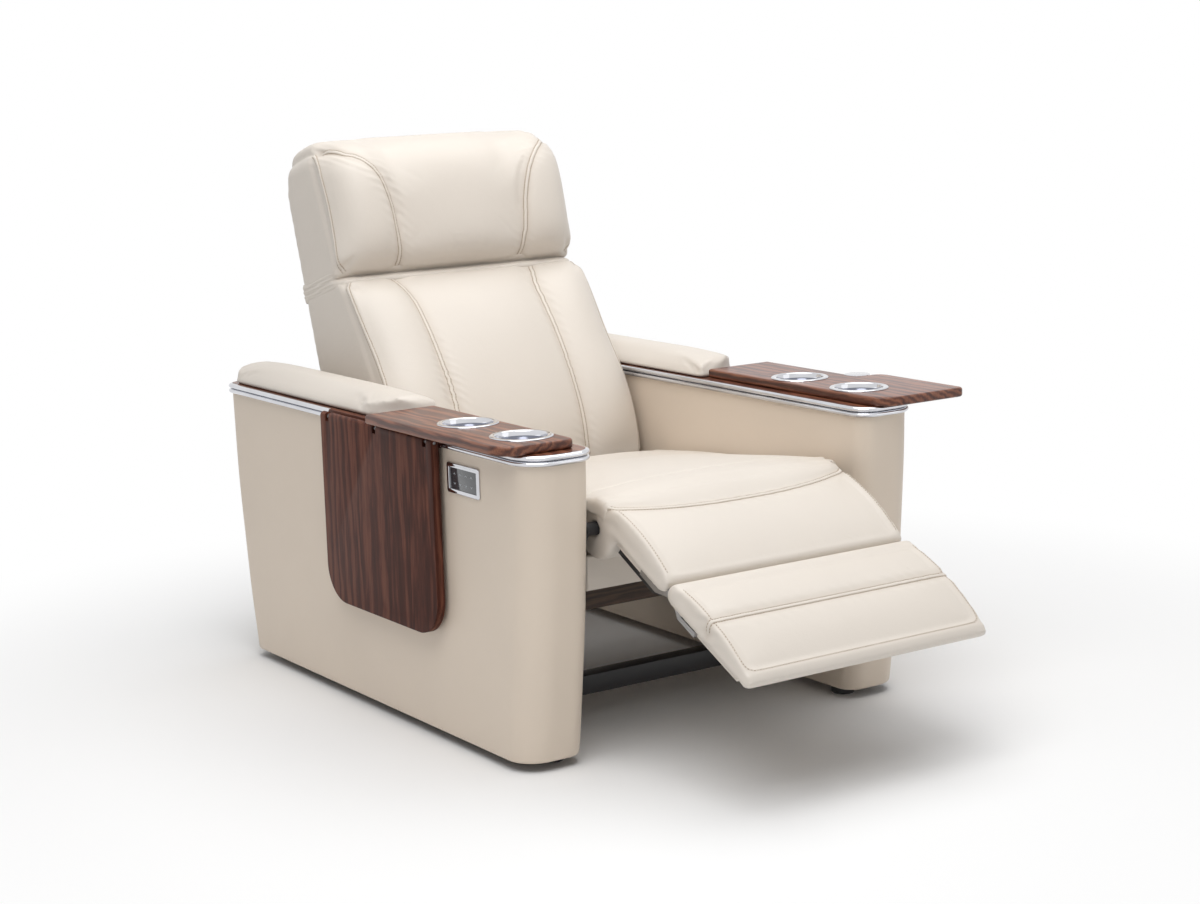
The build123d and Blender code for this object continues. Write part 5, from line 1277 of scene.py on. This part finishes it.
ease = seat_wrap.modifiers.new("eased", "SMOOTH")
ease.factor = 0.5
ease.iterations = 4
skin = seat_wrap.modifiers.new("skin", "SOLIDIFY")
skin.thickness = WRAP_SKIN
skin.offset = -1
finer = seat_wrap.modifiers.new("finer", "SUBSURF")
finer.levels = finer.render_levels = 1
settle(seat_wrap)
seat_wrap.data.shade_smooth()
seat_wrap.data.materials.append(soft_leather)
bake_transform(seat_wrap)

# Back: foam cushions in one leather cover over a plywood board and a steel frame. Two double seams
# part the centre panel from the bolsters, and a third runs down the outer edge of each bolster.
BACK_LEAN = math.radians(16.5)
BACK_HALF = 282.0
BACK_FOOT_Y, BACK_FOOT_Z = 961.0, 300.0
BACK_NODES = ("back_shell", "back_cushion", "back_bolster_left", "back_bolster_right")


def back_spot(x, t, d):
    """Row frame point from the back's own height t and depth d."""
    return spot(x, BACK_FOOT_Y + t * math.sin(BACK_LEAN) - d * math.cos(BACK_LEAN),
                BACK_FOOT_Z + t * math.cos(BACK_LEAN) + d * math.sin(BACK_LEAN))


def back_places(piece):
    """The piece's points as x, height t and depth d of the back."""
    p = chair_points(piece)
    y, z = p[:, 1] - BACK_FOOT_Y, p[:, 2] - BACK_FOOT_Z
    return (p[:, 0], y * math.sin(BACK_LEAN) + z * math.cos(BACK_LEAN),
            -y * math.cos(BACK_LEAN) + z * math.sin(BACK_LEAN))


def rounded_corner(across, up, middle_x, middle_t, radius, weight):
    """Moves points of a square corner on to a round one, by the weight."""
    a = np.clip((np.abs(across) - middle_x) / radius, 0, None)
    b = np.clip((up - middle_t) / radius, 0, None)
    size = np.maximum(np.hypot(a, b), 1e-9)
    ratio = np.where((a > 0) & (b > 0), np.maximum(a, b) / size, 1.0)
    ratio = 1 + (ratio - 1) * weight
    return (np.sign(across) * np.where((a > 0) & (b > 0), middle_x + a * ratio * radius, np.abs(across)),
            np.where((a > 0) & (b > 0), middle_t + b * ratio * radius, up))


def set_back_places(piece, x, t, d):
    """Moves the piece's points to places given in the back's own frame."""
    base = np.array(spot(0, BACK_FOOT_Y, BACK_FOOT_Z))
    y = t * math.sin(BACK_LEAN) - d * math.cos(BACK_LEAN)
    z = t * math.cos(BACK_LEAN) + d * math.sin(BACK_LEAN)
    set_points(piece, np.stack([x, y, z], 1) * MM + base)


dress("back_board", plywood)
dress("back_steel", black_coat)
back_cover = soft_form("back_cover", *BACK_NODES, voxel=0.0078, calm=4)
x, t, d = back_places(back_cover)
BACK_TALL, RESTS_LOW, RESTS_TOP = 464.0, 285.0, 150.0
back_rests = RESTS_LOW - (RESTS_LOW - RESTS_TOP) * t / BACK_TALL
TOP_ROUND, TOP_HEIGHT = 30.0, 457.0
ROUND_FROM = (2, 22)
front_only = smooth_step(d - back_rests, *ROUND_FROM)
x, t = rounded_corner(x, t, BACK_HALF - TOP_ROUND, TOP_HEIGHT - TOP_ROUND, TOP_ROUND, front_only)
set_back_places(back_cover, x, t, d)
PANEL_SEAM = ((168.0, 462.0, 172.0), (158.0, 440.0, 195.0), (149.0, 410.0, 212.0), (146.0, 372.0, 234.0),
              (145.0, 281.0, 272.0), (145.0, 184.0, 300.0), (145.0, 90.0, 300.0), (145.0, 20.0, 295.0))
EDGE_SEAM = ((262.0, 455.0, 176.0), (276.0, 444.0, 182.0), (281.0, 423.0, 196.0), (282.0, 347.0, 226.0),
             (282.0, 270.0, 256.0), (282.0, 180.0, 280.0), (282.0, 90.0, 288.0), (282.0, 20.0, 285.0))


def seam_pair(places):
    """The right and the left line of a seam of the back or the headrest."""
    return [smooth_line([back_spot(side * across, up, deep) for across, up, deep in places])
            for side in (-1, 1)]


panel_seams = seam_pair(PANEL_SEAM)
edge_seams = seam_pair(EDGE_SEAM)
back_near = nearness(back_cover, panel_seams + edge_seams, reach=0.016)
BACK_RIM, BACK_TOP, BACK_LOW = (6, 26), (452, 462), (-14, -4)
TOP_HOLD = 0.9
back_held = np.maximum.reduce([1 - smooth_step(d - back_rests, *BACK_RIM), back_near,
                               smooth_step(t, *BACK_TOP) * TOP_HOLD, 1 - smooth_step(t, *BACK_LOW)])
filled(back_cover, back_held, cap=0.016, pressure=4.0)
drawn_in(back_cover, panel_seams, depth=0.0055, spread=0.013)
finish_piece(back_cover, soft_leather, "leather_cream", "back", *BACK_NODES)
sewn_seams("back_seams", back_cover, [(panel_seams + edge_seams, SEAM_SECTION, SEAM_ROWS)], "back")

# Headrest: a pillow-like centre between two wings on a hinged shell. The wing seams sweep out over
# the top corners and the outer edges are sewn like the bolsters.
dress("neck_brackets", bright_steel)
dress("head_lugs", bright_steel)
HEAD_NODES = ("head_shell", "head_cushion", "head_wing_left", "head_wing_right")
BOARD_MIDDLE, BOARD_SHARE = 600.0, 0.86
head_ply = copied("head_board_ply", "head_board")
x, t, d = back_places(head_ply)
set_back_places(head_ply, x * BOARD_SHARE, BOARD_MIDDLE + (t - BOARD_MIDDLE) * BOARD_SHARE, d)
finish_piece(head_ply, plywood, "plywood", "headrest", "head_board", sharp=35)
WING_SEAM = ((262.0, 729.0, 146.0), (252.0, 725.0, 172.0), (238.0, 716.0, 202.0), (204.0, 691.0, 224.0),
             (175.0, 650.0, 229.0), (158.0, 590.0, 220.0), (150.0, 520.0, 208.0), (147.0, 470.0, 162.0))
HEAD_EDGE = ((262.0, 476.0, 160.0), (275.0, 490.0, 166.0), (281.0, 510.0, 170.0), (282.0, 560.0, 173.0),
             (282.0, 627.0, 172.0), (281.0, 690.0, 162.0), (274.0, 716.0, 146.0), (266.0, 729.0, 124.0))
head_cover = soft_form("head_cover", *HEAD_NODES, voxel=0.0072, calm=4)
x, t, d = back_places(head_cover)
WING_X, WING_REACH = 147.5, 26.0
blend_weight = np.exp(-((np.abs(x) - WING_X) / WING_REACH) ** 2)
blend_weight *= smooth_step(t, 560, 640) * smooth_step(d, 120, 150)
blend_weight = np.maximum(blend_weight, smooth_step(t, 672, 715) * smooth_step(np.abs(x), 205, 250))
weigh(head_cover, "even_out", blend_weight)
even = head_cover.modifiers.new("even_out", "SMOOTH")
even.factor = 0.5
even.iterations = 60
even.vertex_group = "even_out"
settle(head_cover)
head_cover.vertex_groups.clear()
x, t, d = back_places(head_cover)
HEAD_LOW, HEAD_TALL, HEAD_RESTS_TOP = 466.5, 278.5, 112.0
head_rests = RESTS_TOP - (RESTS_TOP - HEAD_RESTS_TOP) * (t - HEAD_LOW) / HEAD_TALL
WING_ROUND, CROWN_ROUND = 34.0, 44.0
WING_LOW, CROWN_HIGH = 472.0, 748.0
front_only = smooth_step(d - head_rests, *ROUND_FROM)
x, low_t = rounded_corner(x, -t, BACK_HALF - WING_ROUND, -WING_LOW - WING_ROUND, WING_ROUND, front_only)
x, t = rounded_corner(x, -low_t, BACK_HALF - CROWN_ROUND, CROWN_HIGH - CROWN_ROUND, CROWN_ROUND, 1.0)
set_back_places(head_cover, x, t, d)
wing_seams = seam_pair(WING_SEAM)
head_edges = seam_pair(HEAD_EDGE)
head_near = nearness(head_cover, wing_seams + head_edges, reach=0.016)
HEAD_RIM, HEAD_NECK = (4, 22), (470, 482)
head_held = np.maximum.reduce([1 - smooth_step(d - head_rests, *HEAD_RIM), head_near,
                               1 - smooth_step(t, *HEAD_NECK)])
filled(head_cover, head_held, cap=0.014, pressure=4.0)
drawn_in(head_cover, wing_seams, depth=0.0055, spread=0.012)
finish_piece(head_cover, soft_leather, "leather_cream", "headrest", *HEAD_NODES)
sewn_seams("head_seams", head_cover, [(wing_seams + head_edges, SEAM_SECTION, SEAM_ROWS)], "headrest")

# Neck gusset: a soft strip of leather round the sides and the rear of the neck that hides the gap,
# drawn with small gathers. It is sewn to the back below and to the headrest above.
GUSSET_LOW, GUSSET_HIGH = 446.0, 486.0
GUSSET_FRONT, GUSSET_ROUND = 152.0, 34.0
GUSSET_STEPS = 28
GUSSET_SKIN = 0.0014
FOLD_HEIGHTS = (446.0, 452.0, 457.0, 461.0, 464.0, 466.5, 468.5, 470.5, 473.0, 477.0, 486.0)
FOLD_DEPTHS = (170.0, 175.0, 175.5, 172.0, 166.0, 158.0, 150.0, 157.0, 163.0, 168.0, 170.0)
gusset_loop = []
for corner_x, corner_d, start in ((282.0, 0.0, -90), (282.0, GUSSET_FRONT, 0), (-282.0, GUSSET_FRONT, 90),
                                  (-282.0, 0.0, 180)):
    soft = GUSSET_ROUND if corner_d else 3.0
    inner_x = corner_x - math.copysign(soft, corner_x)
    inner_d = corner_d + (soft if corner_d == 0.0 else -soft)
    for step in range(9):
        angle = math.radians(start + 90 * step / 8)
        gusset_loop.append((inner_x + soft * math.cos(angle), inner_d + soft * math.sin(angle),
                            math.cos(angle), math.sin(angle)))
even_loop = []
for (xa, da, nxa, nda), (xb, db, nxb, ndb) in zip(gusset_loop, gusset_loop[1:] + gusset_loop[:1]):
    count = max(1, round(math.hypot(xb - xa, db - da) / 5.0))
    for step in range(count):
        share = step / count
        even_loop.append((xa + share * (xb - xa), da + share * (db - da), nxa + share * (nxb - nxa),
                          nda + share * (ndb - nda)))
gusset_rings = []
for level_step in range(GUSSET_STEPS + 1):
    up_share = level_step / GUSSET_STEPS
    t_at = GUSSET_LOW + up_share * (GUSSET_HIGH - GUSSET_LOW)
    swell = math.sin(math.pi * up_share)
    ring = []
    for x_at, d_at, nx, nd in even_loop:
        gather = math.sin(t_at * 0.62 + 0.9 * math.sin(x_at * 0.023) + 1.3 * math.sin(d_at * 0.041))
        gather += 0.5 * math.sin(t_at * 1.13 + 0.05 * d_at + 0.031 * x_at)
        out = -1.6 + 2.0 * min(1.0, swell * 2.2) + 0.75 * swell * gather
        front = max(0.0, nd) ** 2
        fold = np.interp(t_at, FOLD_HEIGHTS, FOLD_DEPTHS) - GUSSET_FRONT
        out = out * (1 - front) + fold * front
        ring.append(back_spot(x_at + nx * out, t_at, d_at + nd * out))
    gusset_rings.append(ring)
neck_gusset = lofted("neck_gusset", gusset_rings, (False, False))
neck_gusset = outward(neck_gusset)
skin = neck_gusset.modifiers.new("skin", "SOLIDIFY")
skin.thickness = GUSSET_SKIN
skin.offset = -1
settle(neck_gusset)
neck_gusset.data.shade_smooth()
neck_gusset.data.materials.append(soft_leather)
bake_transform(neck_gusset)
